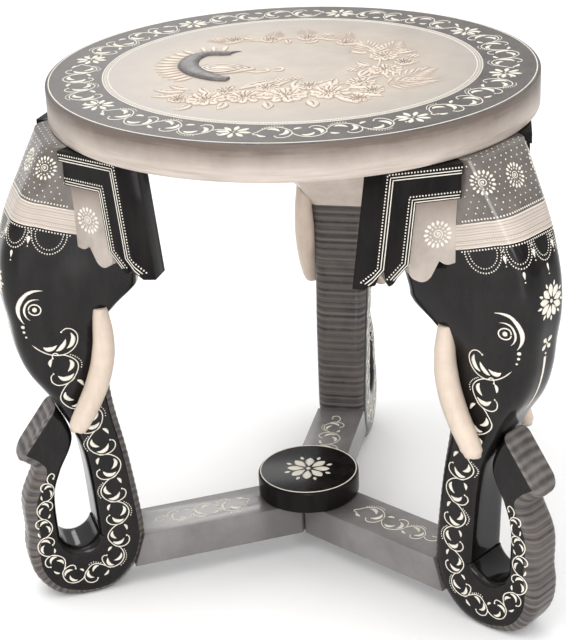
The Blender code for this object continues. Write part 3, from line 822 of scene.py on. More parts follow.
def loop_stations():
    """Sections round the bottom of the loop."""
    stations = []
    for share in np.linspace(0.0, 1.0, 9):
        angle = math.pi * (1 + share)
        depth = between(between(TRUNK_DEPTH, CURL_DEPTH, share), SOLE_DEPTH, math.sin(math.pi * share) ** 2)
        depth += HEEL_FULLNESS * max(0.0, math.sin(2 * math.pi * share))
        outer = LOOP_HOLE + depth
        x, z = math.cos(angle), math.sin(angle)
        half = between(LOOP_WIDE, CURL_WIDE, share)
        edges = (
            RIM + LOOP_CENTRE + outer * x,
            LOOP_Z + outer * z,
            RIM + LOOP_CENTRE + LOOP_HOLE * x,
            LOOP_Z + LOOP_HOLE * z,
        )
        stations.append(edges + (half, half, HOLE_CORNER))
    return stations


def tip_stations(straight):
    """Sections of the upturned tip, which leans on the trunk's front."""
    path = smooth_path(straight, 8)

    def trunk_front(z):
        return float(np.interp(-z, -path[:, 3], path[:, 2])) + 0.001

    inner = RIM + LOOP_CENTRE + LOOP_HOLE
    lip_x, lip_z = RIM + LIP_FRONT, FLOOR + LIP_HEIGHT
    tip_z = FLOOR + TIP_HEIGHT
    neck_z = lip_z - LIP_NECK
    rest_z = between(neck_z, tip_z, 0.50)
    edges = [
        (inner + CURL_DEPTH, between(LOOP_Z, neck_z, 0.52), inner, between(LOOP_Z, neck_z, 0.62)),
        (lip_x - LIP_FLARE, neck_z, between(inner, trunk_front(neck_z), 0.25), neck_z),
        (
            lip_x - 0.85 * LIP_FLARE,
            between(neck_z, lip_z, 0.5),
            between(inner, trunk_front(rest_z), 0.9),
            rest_z,
        ),
        (lip_x, lip_z, trunk_front(tip_z), tip_z),
    ]
    stations = []
    for i, edge in enumerate(edges):
        half = between(CURL_WIDE, TIP_WIDE, (i + 1) / len(edges))
        stations.append(edge + (half, half, HOLE_CORNER))
    return stations


def half_section(depth, wide, slim, corner):
    """Half of a section from the middle of its back to the middle of its front: along, across, part."""
    quarter = np.linspace(0.0, math.pi / 2, ARC_ROWS, endpoint=False)
    side = np.linspace(0.0, 1.0, SIDE_ROWS, endpoint=False)
    flat = np.linspace(0.0, 1.0, BACK_ROWS, endpoint=False)
    front = np.linspace(0.0, 1.0, FRONT_ROWS + 1)
    turn = quarter / (math.pi / 2)
    along = np.concatenate(
        [
            flat * 0.0,
            BACK_CORNER * (1 - np.cos(quarter)),
            between(BACK_CORNER, depth - corner, side),
            depth - corner + corner * np.sin(quarter),
            front * 0.0 + depth,
        ]
    )
    across = np.concatenate(
        [
            flat * (wide - BACK_CORNER),
            wide - BACK_CORNER + BACK_CORNER * np.sin(quarter),
            between(wide, slim, side**2.5),
            slim - corner + corner * np.cos(quarter),
            (slim - corner) * (1 - front),
        ]
    )
    part = np.concatenate([flat, 1 + turn, 2 + side, 3 + turn, 4 + front])
    return along, across, part


def even_rows(path):
    """The sections of a path taken again at even distances, with the length of the back edge."""
    step_back = np.hypot(np.diff(path[:, 0]), np.diff(path[:, 1]))
    step_front = np.hypot(np.diff(path[:, 2]), np.diff(path[:, 3]))
    reach = np.concatenate([[0.0], np.cumsum(np.maximum(step_back, step_front))])
    back = np.concatenate([[0.0], np.cumsum(step_back)])
    spots = np.linspace(0.0, reach[-1], int(reach[-1] / RING_GAP))
    rows = np.stack([np.interp(spots, reach, path[:, i]) for i in range(path.shape[1])], 1)
    return rows, np.interp(spots, reach, back)


def carved_leg():
    """One leg in its own frame, with ridges and a closed tip, and the layers place and wrap."""
    sizes = settings()[0]
    head, trunk, loop = head_stations(), trunk_stations(), loop_stations()
    tip = tip_stations(head[-1:] + trunk + loop[:1])
    rows, back_length = even_rows(smooth_path(head + trunk + loop + tip, 24))
    rings, layers = [], []
    for row, length in zip(rows, back_length):
        back, front = np.array([row[0], row[1]]), np.array([row[2], row[3]])
        inward = (front - back) / np.linalg.norm(front - back)
        along, across, part = half_section(np.linalg.norm(front - back), row[4], row[5], row[6])
        groove = 0.5 - 0.5 * math.sin(2 * math.pi * length / sizes.ridge_pitch)
        below = min(max((NAPE_END - row[1]) / RIDGE_FADE, 0.0), 1.0)
        behind = np.clip((RIDGE_PART - part) / RIDGE_PART_FADE, 0.0, 1.0)
        along = along + sizes.ridge_depth * groove * below * behind
        x = back[0] + inward[0] * along
        z = np.clip(back[1] + inward[1] * along, FLOOR, SEAT)
        half = np.stack([x, across, z], 1)
        other = half[-2:0:-1] * np.array([1.0, -1.0, 1.0])
        rings.append(np.concatenate([half, other]))
        turn = np.concatenate([part, part[-2:0:-1]])
        layers.append(np.stack([np.full(len(turn), length), turn, np.zeros(len(turn))], 1))
    crown_middle = rings[0].mean(0)
    first = [crown_middle + (rings[0] - crown_middle) * share for share in (0.0, 0.5)]
    rings, layers = tip_end(rings, layers, sizes)
    rings = np.array(first + rings)
    layers = np.array([layers[0]] * 2 + layers)
    return rolled("leg", rings, {"place": rings, "wrap": layers})


# Rings that close a trunk's tip: size as a share of the last section, and rise
TIP_RINGS = [
    (0.985, 0.0009), (0.95, 0.0016), (0.90, 0.0020), (0.84, 0.0020), (0.76, 0.0017), (0.66, 0.0014),
    (0.54, 0.0012), (0.40, 0.0011), (0.26, 0.0010), (0.13, 0.0010), (0.0, 0.0010),
]
TIP_BARS, TIP_LIP = 0.0004, 0.9


def tip_end(rings, layers, sizes):
    """Close the trunk's tip with a rounded lip round a ridged end."""
    last = rings[-1]
    middle = last.mean(0)
    outward = np.cross(last[len(last) // 4] - middle, last[0] - middle)
    outward /= np.linalg.norm(outward)
    if outward[0] < 0:
        outward = -outward
    mark = layers[-1].copy()
    mark[:, 2] = 1.0
    for share, lift in TIP_RINGS:
        ring = middle + (last - middle) * share
        bars = np.sin(2 * math.pi * ring[:, 2] / sizes.ridge_pitch) * TIP_BARS
        bars = bars * (share < TIP_LIP) * min(1.0, share * 4)
        rings.append(ring + outward * (lift + bars)[:, None])
        layers.append(mark)
    return rings, layers


class TABLE_OT_legs(bpy.types.Operator):
    """Carve the three legs and lay their brushwork"""

    bl_idname = "side_table.legs"
    bl_label = "Legs"

    def execute(self, context):
        leg = carved_leg()
        for where, angle in LEG_ANGLES.items():
            piece = turned_copy(leg, f"{where}_carved_leg", angle)
            fitted(piece, "black_lacquer", kept(painted_leg), nodes=[f"{where}_leg"])
        leg_paint(leg)
        dropped(leg)
        return {"FINISHED"}


# Tusks

TUSK_RADIUS, TUSK_LENGTH, TUSK_BOW = 0.0092, 0.101, 0.011
TUSK_ROOT, TUSK_FORWARD, TUSK_DROP, TUSK_SINK = -0.017, 0.027, 0.131, 0.002
TUSK_SHARES = [0.0, 0.0, 0.18, 0.38, 0.60, 0.80, 0.93, 0.985, 1.0, 1.0]
TUSK_GIRTH = [0.0, 0.62, 0.84, 0.97, 1.0, 0.97, 0.88, 0.78, 0.60, 0.0]


def carved_tusk():
    """One tusk in its leg's frame: rings along a bowed line, drawn in to a blunt tip."""
    rows = np.linspace(0.0, 1.0, 64)
    place = np.linspace(0.0, 1.0, len(TUSK_SHARES))
    share = np.interp(rows, place, TUSK_SHARES)
    girth = np.interp(rows, place, TUSK_GIRTH) * TUSK_RADIUS
    turn = np.linspace(0.0, 2 * math.pi, 28, endpoint=False)
    x = RIM + TUSK_ROOT + TUSK_FORWARD * share - TUSK_BOW * np.sin(math.pi * share)
    z = SEAT - TUSK_DROP - TUSK_LENGTH * share
    slope = np.gradient(x, edge_order=1) / np.where(np.abs(np.gradient(z)) < 1e-9, -1e-3, np.gradient(z))
    slope = np.clip(slope, -0.8, 0.8)
    lean = np.arctan(slope)
    middle = np.stack([x, np.full_like(x, HEAD_SLIM + TUSK_RADIUS - TUSK_SINK), z], 1)
    sideways = np.stack([np.cos(lean), np.zeros_like(x), -np.sin(lean)], 1)
    across = np.array([0.0, 1.0, 0.0])
    rings = middle[:, None, :] + girth[:, None, None] * (
        np.cos(turn)[None, :, None] * sideways[:, None, :] + np.sin(turn)[None, :, None] * across
    )
    return rolled("tusk", rings)


class TABLE_OT_tusks(bpy.types.Operator):
    """Carve the six tusks"""

    bl_idname = "side_table.tusks"
    bl_label = "Tusks"

    def execute(self, context):
        tusk = carved_tusk()
        for where, angle in LEG_ANGLES.items():
            for side, sign in SIDES.items():
                piece = turned_copy(tusk, f"{where}_carved_tusk_{side}", angle, mirror=sign < 0)
                node = f"{where}_tusk_{side}"
                fitted(piece, "ivory_paint", kept(aged_ivory), nodes=[node])
        dropped(tusk)
        return {"FINISHED"}


# Ears

EAR_ANGLE = math.radians(54.0)
EAR_INNER, EAR_INNER_HALF = 0.006, 0.038
EAR_TOP_LENGTH, EAR_BOTTOM_LENGTH, EAR_DROP, EAR_TOOTH = 0.060, 0.071, 0.090, 0.017
EAR_PROUD, EAR_STEP = 0.001, 0.0045
EAR_BANDS = [(0.0080, 0.0080), (0.0270, 0.0275)]
EAR_LOBES = [(0.045, 0.100, 0.0017), (0.0, 0.045, 0.0029)]
EAR_LOBE_SHARE, EAR_PANEL_BACK = 0.70, -0.0225

# Painted lines along an ear's steps, and the flower on its panel: place, radius, petals, petal width
EAR_LINE_START, EAR_FOOT_INSET = 0.0045, 0.0060
EAR_LINES, EAR_DOT_LINE = (0.0010, 0.0030), 0.0053
EAR_FLOWER = (0.0195, -0.0540, 0.0105, 16, 0.0024)


def ear_matrix():
    """The ear's own axes in its leg's frame: X along the face, Y up, Z out of the face."""
    along = Vector((-math.cos(EAR_ANGLE), math.sin(EAR_ANGLE), 0.0))
    outward = Vector((math.sin(EAR_ANGLE), math.cos(EAR_ANGLE), 0.0))
    axes = Matrix((along, Vector((0.0, 0.0, 1.0)), outward)).transposed().to_4x4()
    return Matrix.Translation((RIM + EAR_INNER, EAR_INNER_HALF, SEAT)) @ axes


def ear_length(drop):
    """Length of the ear's face at a depth below its top."""
    return between(EAR_TOP_LENGTH, EAR_BOTTOM_LENGTH, drop / EAR_DROP)


def step_line(band, offset):
    """The line along a step's edge, moved outward by an offset: top, side and slanting foot."""
    side, over = band
    top = over - offset
    bend = EAR_DROP - EAR_TOOTH
    corner = (ear_length(top) - side + offset, -top)
    low = (ear_length(bend) - side + offset, -bend + offset * 0.4)
    foot = EAR_TOOTH - EAR_FOOT_INSET
    return np.array([(EAR_LINE_START, -top), corner, low, (low[0] + foot, low[1] - foot)])


def carved_ear(name, node, to_ear):
    """An ear whose lower points are rounded into lobes and whose other edges are eased."""
    ear = node_copy(name, node)
    for near, far, radius in EAR_LOBES:
        edit_all(ear)
        bpy.ops.mesh.select_all(action="DESELECT")
        bpy.ops.mesh.select_mode(type="EDGE")
        bpy.ops.object.mode_set(mode="OBJECT")
        places = [to_ear @ point.co for point in ear.data.vertices]
        for edge in ear.data.edges:
            a, b = (places[i] for i in edge.vertices)
            upright = abs(a.x - b.x) + abs(a.y - b.y) < 1e-4 and abs(a.z - b.z) > 0.005
            edge.select = upright and near < a.x < far and a.y < -EAR_DROP + EAR_LOBE_SHARE * EAR_TOOTH
        bpy.ops.object.mode_set(mode="EDIT")
        bpy.ops.mesh.bevel(offset=radius, segments=5, affect="EDGES", clamp_overlap=False)
        bpy.ops.object.mode_set(mode="OBJECT")
    return eased(ear, settings()[0].edge)


def ear_panel_faces(ear, to_ear):
    """Give the sunk panel and the lobes below it the panel's material."""
    panel = EAR_PROUD - 2 * EAR_STEP
    for face in ear.data.polygons:
        place = to_ear @ face.center
        side, over = EAR_BANDS[1]
        sunk = EAR_PANEL_BACK < place.z < panel + 0.0012
        inside = place.x < ear_length(-place.y) - side - 0.0004 and place.y < -over + 0.0015
        face.material_index = 1 if sunk and inside else 0


class TABLE_OT_ears(bpy.types.Operator):
    """Ease and paint the six stepped ears"""

    bl_idname = "side_table.ears"
    bl_label = "Ears"

    def execute(self, context):
        black, beige = kept(gloss_black), kept(ear_panel)
        paint = None
        for where, angle in LEG_ANGLES.items():
            for side, sign in SIDES.items():
                node = f"{where}_ear_{side}"
                turn = Matrix.Rotation(math.radians(angle), 4, "Z")
                flip = Matrix.Scale(sign, 4, (0.0, 1.0, 0.0))
                to_ear = (turn @ flip @ ear_matrix()).inverted()
                ear = carved_ear(f"{where}_carved_ear_{side}", node, to_ear)
                ear.data.materials.append(black)
                ear.data.materials.append(beige)
                ear_panel_faces(ear, to_ear)
                fitted(ear, "ear_lacquer", nodes=[node])
                if paint is None:
                    paint = ear_paint(ear, turn)
                brushwork = turned_copy(paint, f"{where}_ear_brushwork_{side}", angle, mirror=sign < 0)
                fitted(brushwork, "ivory_paint", kept(white_brushwork))
        dropped(paint)
        return {"FINISHED"}


# Top, stretcher and boss

ARM_LAP = 0.0012
TOP_EDGE, TOP_FACETS = 0.0018, 192
BOSS_EDGE, BOSS_FACETS = 0.0025, 96
# Radii between which the stretcher's grey darkens near the boss and near the trunks
BOSS_DARKENING, TRUNK_DARKENING = (0.046, 0.062), (0.144, 0.168)


def turned_disc(name, low, high, radius, edge, sides):
    """A disc with rounded edges, from a cylinder whose rims are bevelled."""
    bpy.ops.object.select_all(action="DESELECT")
    bpy.ops.mesh.primitive_cylinder_add(
        vertices=sides, radius=radius, depth=high - low, location=(0.0, 0.0, (low + high) / 2)
    )
    obj = bpy.context.object
    obj.name = obj.data.name = name
    bpy.ops.object.transform_apply(location=True, rotation=True, scale=True)
    return eased(obj, edge, 5)


class TABLE_OT_top(bpy.types.Operator):
    """Turn the top and add its border and raised ornament"""

    bl_idname = "side_table.top"
    bl_label = "Top"

    def execute(self, context):
        top = turned_disc("turned_top", UNDERSIDE, TOP_HIGH.z, RIM, TOP_EDGE, TOP_FACETS)
        fitted(top, "top_paint", kept(painted_top), nodes=["table_top"])
        border = top_border()
        fitted(border, "ivory_paint", kept(white_brushwork))
        fitted(raised_garland(), "top_paint")
        fitted(raised_bird(), "top_paint", kept(bird_grey))
        return {"FINISHED"}


def square_ended(arm, angle):
    """Trim the cheeks at an arm's end that would lap round the trunk."""
    heel = smooth_path(loop_stations()[:5], 12)
    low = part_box("rear_stretcher_arm")[0].z
    ends = [Vector((np.interp(-z, -heel[:, 1], heel[:, 0]) + ARM_LAP, 0.0, z)) for z in (ARM_TOP, low)]
    turn = Matrix.Rotation(math.radians(angle), 4, "Z")
    outward = (ends[0] - ends[1]).cross(Vector((0.0, 1.0, 0.0)))
    if outward.x < 0:
        outward.negate()
    edit_all(arm)
    bpy.ops.mesh.bisect(
        plane_co=turn @ ends[0], plane_no=turn @ outward.normalized(), use_fill=True, clear_outer=True
    )
    bpy.ops.object.mode_set(mode="OBJECT")
    return arm


class TABLE_OT_stretcher(bpy.types.Operator):
    """Ease the stretcher arms, turn the boss and paint both"""

    bl_idname = "side_table.stretcher"
    bl_label = "Stretcher"

    def execute(self, context):
        sizes = settings()[0]
        white = kept(white_brushwork)
        for where, angle in LEG_ANGLES.items():
            arm = square_ended(node_copy(f"{where}_eased_arm", f"{where}_stretcher_arm"), angle)
            eased(arm, sizes.edge * 0.6)
            fitted(arm, "grey_paint", kept(rubbed_grey), nodes=[f"{where}_stretcher_arm"])
        paint = arm_paint()
        for where, angle in LEG_ANGLES.items():
            brushwork = turned_copy(paint, f"{where}_arm_brushwork", angle)
            fitted(brushwork, "ivory_paint", white)
        dropped(paint)
        low, high = BOSS_LOW.z, BOSS_HIGH.z
        boss = turned_disc("turned_boss", low, high, BOSS_HIGH.x, BOSS_EDGE, BOSS_FACETS)
        fitted(boss, "black_lacquer", kept(gloss_black), nodes=["centre_boss"])
        fitted(boss_paint(), "ivory_paint", white)
        return {"FINISHED"}


class TABLE_OT_fasteners(bpy.types.Operator):
    """Finish the dowels, bolts, screws and pins"""

    bl_idname = "side_table.fasteners"
    bl_label = "Fasteners"

    def execute(self, context):
        for name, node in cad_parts.items():
            if "dowel" in name:
                finish = kept(dowel_wood)
            elif "bolt" in name or "screw" in name or "pin" in name:
                finish = kept(zinc_plate)
            else:
                continue
            node.data.materials.clear()
            node.data.materials.append(finish)
        return {"FINISHED"}


# Brushwork: strokes are drawn flat and then laid on the wood


class Sheet:
    """Flat strokes: each has points and the half width at every point."""

    def __init__(self):
        self.strokes = []

    def stroke(self, points, widths):
        """Add one stroke."""
        points = np.asarray(points, float)
        self.strokes.append((points, np.broadcast_to(widths, len(points))))

    def line(self, points, width, taper=0.15):
        """A line with drawn-out ends."""
        points = np.asarray(points, float)
        share = np.linspace(0.0, 1.0, len(points))
        fade = np.clip(np.minimum(share, 1 - share) / max(taper, 1e-6), 0.25, 1.0) if taper else 1.0
        self.stroke(points, width * fade * np.ones(len(points)))

    def dot(self, x, y, radius):
        """A round dab."""
        reach = DAB_REACH * radius
        self.stroke([(x - reach, y), (x, y), (x + reach, y)], radius * np.array([DAB_END, 1.0, DAB_END]))

    def dots(self, points, gap, radius):
        """Dabs at even distances along a line."""
        for x, y in evenly(points, gap):
            self.dot(x, y, radius)

    def leaf(self, x, y, angle, length, width, bend=0.0, belly=0.8, taper=1.0):
        """A dab drawn out to a point, bent to one side; a lower taper rounds its ends."""
        t = np.linspace(0.0, 1.0, 8 if width < BROAD_LEAF else 15)
        u = length * t
        v = bend * length * np.sin(math.pi * t)
        cos, sin = math.cos(angle), math.sin(angle)
        points = np.stack([x + u * cos - v * sin, y + u * sin + v * cos], 1)
        swell = np.clip(np.sin(math.pi * t**belly), 0.0, 1.0) ** taper
        self.stroke(points, np.maximum(width / 2 * swell, width * 0.06))

    def flower(self, x, y, radius, petals, width, hub, start=0.0, inner=0.35):
        """A rosette of petals round a hub."""
        for i in range(petals):
            angle = start + 2 * math.pi * i / petals
            near = radius * inner
            self.leaf(*ahead(x, y, angle, near), angle, radius - near, width, 0.0, 1.25, 0.7)
        self.dot(x, y, hub)

    def between_petals(self, x, y, radius, petals, start, length, width, belly=0.8):
        """Small leaves between the petals of a rosette."""
        for i in range(petals):
            turn = start + 2 * math.pi * (i + 0.5) / petals
            self.leaf(*ahead(x, y, turn, radius), turn, length, width, 0.0, belly)

    def spiral_flower(self, x, y, radius, petals, width):
        """A many-petalled flower round a painted spiral."""
        self.flower(x, y, radius, petals, width, radius * 0.08, 0.0, 0.64)
        for i in range(12):
            turn = 2 * math.pi * (i + 0.5) / 12
            self.dot(*ahead(x, y, turn, radius * 0.53), radius * 0.075)
        turn = np.linspace(0.0, 3.4 * math.pi, 26)
        curl = radius * np.linspace(0.08, 0.36, 26)
        spiral = np.stack([x + curl * np.cos(turn), y + curl * np.sin(turn)], 1)
        self.line(spiral, settings()[0].line * 0.75, 0.1)

    def vine(self, path, pitch, reach, side=1.0):
        """A running scroll: C-shaped lobes on alternate sides, each with a hook, leaves and outer dots.

        Pitch and reach are each a pair, the length and half width of the first and the last lobe.
        """
        sizes = settings()[0]
        points, tangents, total = walked(path, 0.0006)
        normals = np.stack([-tangents[:, 1], tangents[:, 0]], 1)
        spots = np.linspace(0.0, total, len(points))
        lobes = max(2, int(round(2 * total / (pitch[0] + pitch[1]))))
        lengths = np.linspace(pitch[0], pitch[1], lobes)
        lengths *= total / lengths.sum()
        starts = np.concatenate([[0.0], np.cumsum(lengths)])
        halves = np.linspace(reach[0], reach[1], lobes)

        def at(t, s):
            over = np.asarray(t, float)
            inside = np.clip(over, 0.0, total)
            spot = np.stack([np.interp(inside, spots, points[:, i]) for i in range(2)], -1)
            aim = np.stack([np.interp(inside, spots, normals[:, i]) for i in range(2)], -1)
            forward = np.stack([aim[..., 1], -aim[..., 0]], -1)
            return spot + aim * np.asarray(s)[..., None] + forward * (over - inside)[..., None]

        stem = []
        for k in range(lobes):
            length, half, hand = lengths[k], halves[k], side * (1.0 if k % 2 == 0 else -1.0)

            def lobe(rows, steps=4):
                rows = smooth_path(rows, steps)
                return at(starts[k] + rows[:, 0] * length, hand * half * rows[:, 1])

            sweep = 0.5 - 0.5 * np.cos(np.linspace(0.0, math.pi, 21))
            swell = 0.95 * np.sin(math.pi * np.clip(sweep, 0.0, 1.0)) ** LOBE_ROUND
            turned = at(starts[k] + sweep * length, hand * half * swell)
            stem.append(turned if k == lobes - 1 else turned[:-1])
            hook = lobe(LOBE_HOOK)
            self.line(hook, sizes.line, 0.12)
            self.dot(hook[-1][0], hook[-1][1], sizes.dot * 1.15)
            for rows, width in LOBE_LEAVES:
                leaf = lobe(rows)
                belly = np.sin(np.linspace(0.0, math.pi, len(leaf)))
                self.stroke(leaf, width * half * np.maximum(belly, 0.08))
            if k % 3 != 1 and half > DOTTED_LOBE:
                outer = np.linspace(0.10, 0.70, 18)
                rise = 0.95 * np.sin(math.pi * outer) ** LOBE_ROUND + 0.22
                row = at(starts[k] + outer * length, hand * half * rise)
                self.dots(row, sizes.dot * 2.7, sizes.dot * 0.78)
        self.line(np.concatenate(stem), sizes.line, 0.0)
        for rows, k, hand in ((VINE_START, 0, side), (VINE_END, lobes - 1, side if lobes % 2 else -side)):
            rows = smooth_path(rows, 6)
            tendril = at(starts[k] + rows[:, 0] * lengths[k], hand * halves[k] * rows[:, 1])
            self.line(tendril, sizes.line, 0.1)
            self.dot(tendril[-1][0], tendril[-1][1], sizes.dot * 1.3)


# A dab's ends as shares of its radius, the width of leaves that get more points, lobes wide enough for dots
DAB_REACH, DAB_END = 0.72, 0.6
BROAD_LEAF, DOTTED_LOBE = 0.006, 0.0085

# A lobe's hook and leaves, as shares of its length and of its half width
LOBE_ROUND = 0.62
LOBE_HOOK = [
    (0.955, 0.42), (1.0, 0.0), (0.98, -0.42), (0.89, -0.76), (0.74, -0.93), (0.59, -0.86), (0.53, -0.66),
]
LOBE_LEAVES = [
    ([(0.26, 0.52), (0.40, 0.62), (0.54, 0.50), (0.64, 0.20)], 0.15),
    ([(0.80, 0.48), (0.86, 0.12), (0.80, -0.24), (0.64, -0.46)], 0.16),
    ([(0.05, -0.46), (0.15, -0.64), (0.30, -0.70)], 0.12),
]
VINE_START = [(0.0, 0.0), (-0.10, -0.16), (-0.08, -0.36), (0.04, -0.42)]
VINE_END = [(1.0, 0.0), (1.18, -0.30), (1.42, -0.24), (1.58, 0.14), (1.48, 0.52), (1.30, 0.46)]


def ahead(x, y, heading, distance):
    """The point a distance away in a direction."""
    return x + distance * math.cos(heading), y + distance * math.sin(heading)


def measured(path):
    """A line's points as an array, and how far along the line each of them lies."""
    path = np.asarray(path, float)
    return path, np.concatenate([[0.0], np.cumsum(np.hypot(*np.diff(path, axis=0).T))])


def spaced(path, reach, count):
    """Points at even distances along a measured line, both ends kept."""
    spots = np.linspace(0.0, reach[-1], count)
    return np.stack([np.interp(spots, reach, path[:, i]) for i in range(2)], 1)


def walked(path, gap):
    """Even points along a line, their directions and the line's length."""
    path, reach = measured(path)
    points = spaced(path, reach, max(8, int(reach[-1] / gap)))
    tangents = np.gradient(points, axis=0)
    tangents /= np.linalg.norm(tangents, axis=1)[:, None]
    return points, tangents, reach[-1]


def evenly(path, gap):
    """Points along a line, about a gap apart."""
    path, reach = measured(path)
    return spaced(path, reach, max(2, int(round(reach[-1] / gap)) + 1))


def arc(x, y, radius, start, stop, count=24):
    """Points of an arc, angles in degrees."""
    turn = np.radians(np.linspace(start, stop, count))
    return np.stack([x + radius * np.cos(turn), y + radius * np.sin(turn)], 1)


def drawn(name, sheet, fineness=1):
    """Turn flat strokes into round-backed strokes."""
    curve = bpy.data.curves.new(name, "CURVE")
    curve.dimensions = "3D"
    curve.bevel_depth = 1.0
    curve.bevel_resolution = fineness
    curve.use_fill_caps = True
    for points, widths in sheet.strokes:
        spline = curve.splines.new("POLY")
        spline.points.add(len(points) - 1)
        rows = np.concatenate([points, np.zeros((len(points), 1)), np.ones((len(points), 1))], 1)
        spline.points.foreach_set("co", rows.ravel())
        spline.points.foreach_set("radius", np.array(widths, float))
    obj = bpy.data.objects.new(name, curve)
    bpy.context.scene.collection.objects.link(obj)
    select_only(obj)
    bpy.ops.object.convert(target="MESH")
    return close_up(bpy.context.object, 1e-7)


def flattened(heights, limit):
    """Stroke heights pressed down toward a limit."""
    return limit * np.tanh(heights * 0.75 / limit)


def laid(name, sheet, cast, tree, limit):
    """Lay flat strokes on a surface, cast along the ray that belongs to each flat point."""
    obj = drawn(name, sheet)
    points = coordinates(obj.data)
    heights = flattened(points[:, 2], limit)
    for i, (x, y, _) in enumerate(points):
        start, direction = cast(x, y)
        spot, normal, _, _ = tree.ray_cast(start, direction, 0.5)
        if spot is None:
            spot, normal, _, _ = tree.find_nearest(start + direction * 0.1)
        points[i] = spot + normal * heights[i]
    set_coordinates(obj.data, points)
    return obj


def downward(height):
    """Rays straight down from a height, for laying strokes."""
    return lambda x, y: (Vector((x, y, height)), Vector((0.0, 0.0, -1.0)))


def flat_paint(name, sheet, level, limit, fineness=1):
    """Strokes on a level face."""
    obj = drawn(name, sheet, fineness)
    points = coordinates(obj.data)
    points[:, 2] = level + flattened(points[:, 2], limit)
    set_coordinates(obj.data, points)
    return obj


def mirror_join(name, obj):
    """Add the mirror image of one side's brushwork."""
    other = turned_copy(obj, name + "_other", 0.0, mirror=True)
    return joined(name, [obj, other])


# Brushwork of a leg's side, outward and up
LOOP_VINE = [
    (0.1815, -0.2740), (0.1765, -0.3000), (0.1735, -0.3270), (0.1718, -0.3540), (0.1738, -0.3775),
    (0.1840, -0.3955), (0.2030, -0.4010), (0.2210, -0.3920), (0.2310, -0.3710), (0.2318, -0.3490),
    (0.2285, -0.3290), (0.2240, -0.3120),
]
CHEEK_VINE = [(0.2065, -0.1970), (0.2035, -0.2120), (0.1985, -0.2265), (0.1945, -0.2420), (0.1882, -0.2565)]
CHEEK_CURL = [
    (0.2035, -0.1765), (0.2000, -0.1738), (0.1950, -0.1752), (0.1912, -0.1810), (0.1918, -0.1885),
    (0.1965, -0.1945), (0.2040, -0.1972), (0.2130, -0.1955), (0.2205, -0.1910), (0.2262, -0.1855),
]
CHEEK_LEAVES = [
    [(0.1962, -0.1782), (0.1945, -0.1835), (0.1962, -0.1890), (0.2000, -0.1920)],
    [(0.2005, -0.1835), (0.2020, -0.1880), (0.2052, -0.1915), (0.2085, -0.1930)],
    [(0.2075, -0.1880), (0.2110, -0.1905), (0.2150, -0.1905), (0.2180, -0.1885)],
]
CHEEK_LEAF = 0.0020
SIDE_PITCH, SIDE_REACH = (0.0265, 0.0160), (0.0128, 0.0062)
BROW_DOTS = [(0.2312, -0.1705, 0.0016), (0.2308, -0.1748, 0.0012), (0.2296, -0.1790, 0.0009)]
EYE, EYE_RING, PUPIL = (0.2215, -0.1560), 0.0045, 0.0022

# Curved strokes beside the eye: place from the eye, radius, angles, points and width
EYE_STROKES = [
    (-0.0050, -0.0010, 0.0172, 96, -38, 26, 0.0017),
    (-0.0020, -0.0010, 0.0098, 100, -52, 20, 0.0009),
]


def side_sheet():
    """The brushwork of a cheek and a trunk's side: outward and up."""
    sizes = settings()[0]
    sheet = Sheet()
    x, z = EYE
    sheet.line(arc(x, z, EYE_RING, 0, 350, 28), sizes.line * 1.15, 0.0)
    sheet.dot(x, z, PUPIL)
    for move_x, move_z, radius, start, stop, count, width in EYE_STROKES:
        sheet.stroke(arc(x + move_x, z + move_z, radius, start, stop, count), crescent(count, width))
    for dot in BROW_DOTS:
        sheet.dot(*dot)
    sheet.line(smooth_path(CHEEK_CURL, 6), sizes.line, 0.06)
    sheet.dot(*CHEEK_CURL[0], sizes.dot * 1.2)
    for leaf in CHEEK_LEAVES:
        leaf = smooth_path(leaf, 5)
        swell = np.maximum(np.sin(np.linspace(0.0, math.pi, len(leaf))), 0.1)
        sheet.stroke(leaf, CHEEK_LEAF * swell)
    sheet.vine(smooth_path(CHEEK_VINE + LOOP_VINE, 8), SIDE_PITCH, SIDE_REACH, -1.0)
    return sheet


def crescent(count, width):
    """Widths of a stroke that swells in its middle."""
    return np.maximum(width * np.sin(np.linspace(0.0, math.pi, count)) ** 0.8, width * 0.12)


# Brushwork round a head: its axis, the angles and levels it is measured at, and how far round it goes
WRAP_X = RIM - 0.006
HEAD_TURNS = np.radians(np.linspace(0.0, 100.0, 51))
HEAD_LEVELS = np.linspace(-0.134, -0.030, 40)
HEAD_SPAN = math.radians(80.0)

# Flowers of the headcloth with their radius, petals and petal width, and the dots between them
CLOTH_FLOWERS = [(-0.0310, -0.0474), (0.0, -0.0505), (0.0310, -0.0474)]
CLOTH_FLOWER, FLOWER_ROOM = (0.0096, 16, 0.0021), 0.0108
CLOTH_DOT_GAP, CLOTH_DOT_RISE, CLOTH_DOT_LOW = 0.0064, 0.0045, 0.0066
CROWN_DOTS = [(0.0022, 0.0300, 0.0), (0.0068, 0.0255, 0.0032)]

# Rows of dots along the band: level, gap and radius as multiples of a dot; and the lines at its edges
BAND_DOTS = [(CLOTH_LOW + 0.0021, 3.2, 1.10), (BAND_LOW - 0.0018, 3.0, 1.0), (BAND_LOW + 0.0052, 2.4, 0.5)]
BAND_LINES = (BAND_LOW + 0.0004, CLOTH_LOW - 0.0004)

# Swags below the band: their edges, then depth, half width as a share of the swag and size of the dots
SWAG_EDGES = (-1.0, -0.54, -0.18, 0.18, 0.54, 1.0)
SWAG_ROWS, SWAG_DROP = ((0.0165, 0.455, 0.90), (0.0130, 0.355, 0.78)), 0.0036

# Pendants under and between swags: drop, length and width of the leaf, drop of the dot below
SWAG_PENDANT = (0.0225, 0.0062, 0.0022, 0.0308)
EDGE_PENDANT, EDGE_DOT = (0.0080, 0.0068, 0.0030, 0.0168), 0.0048


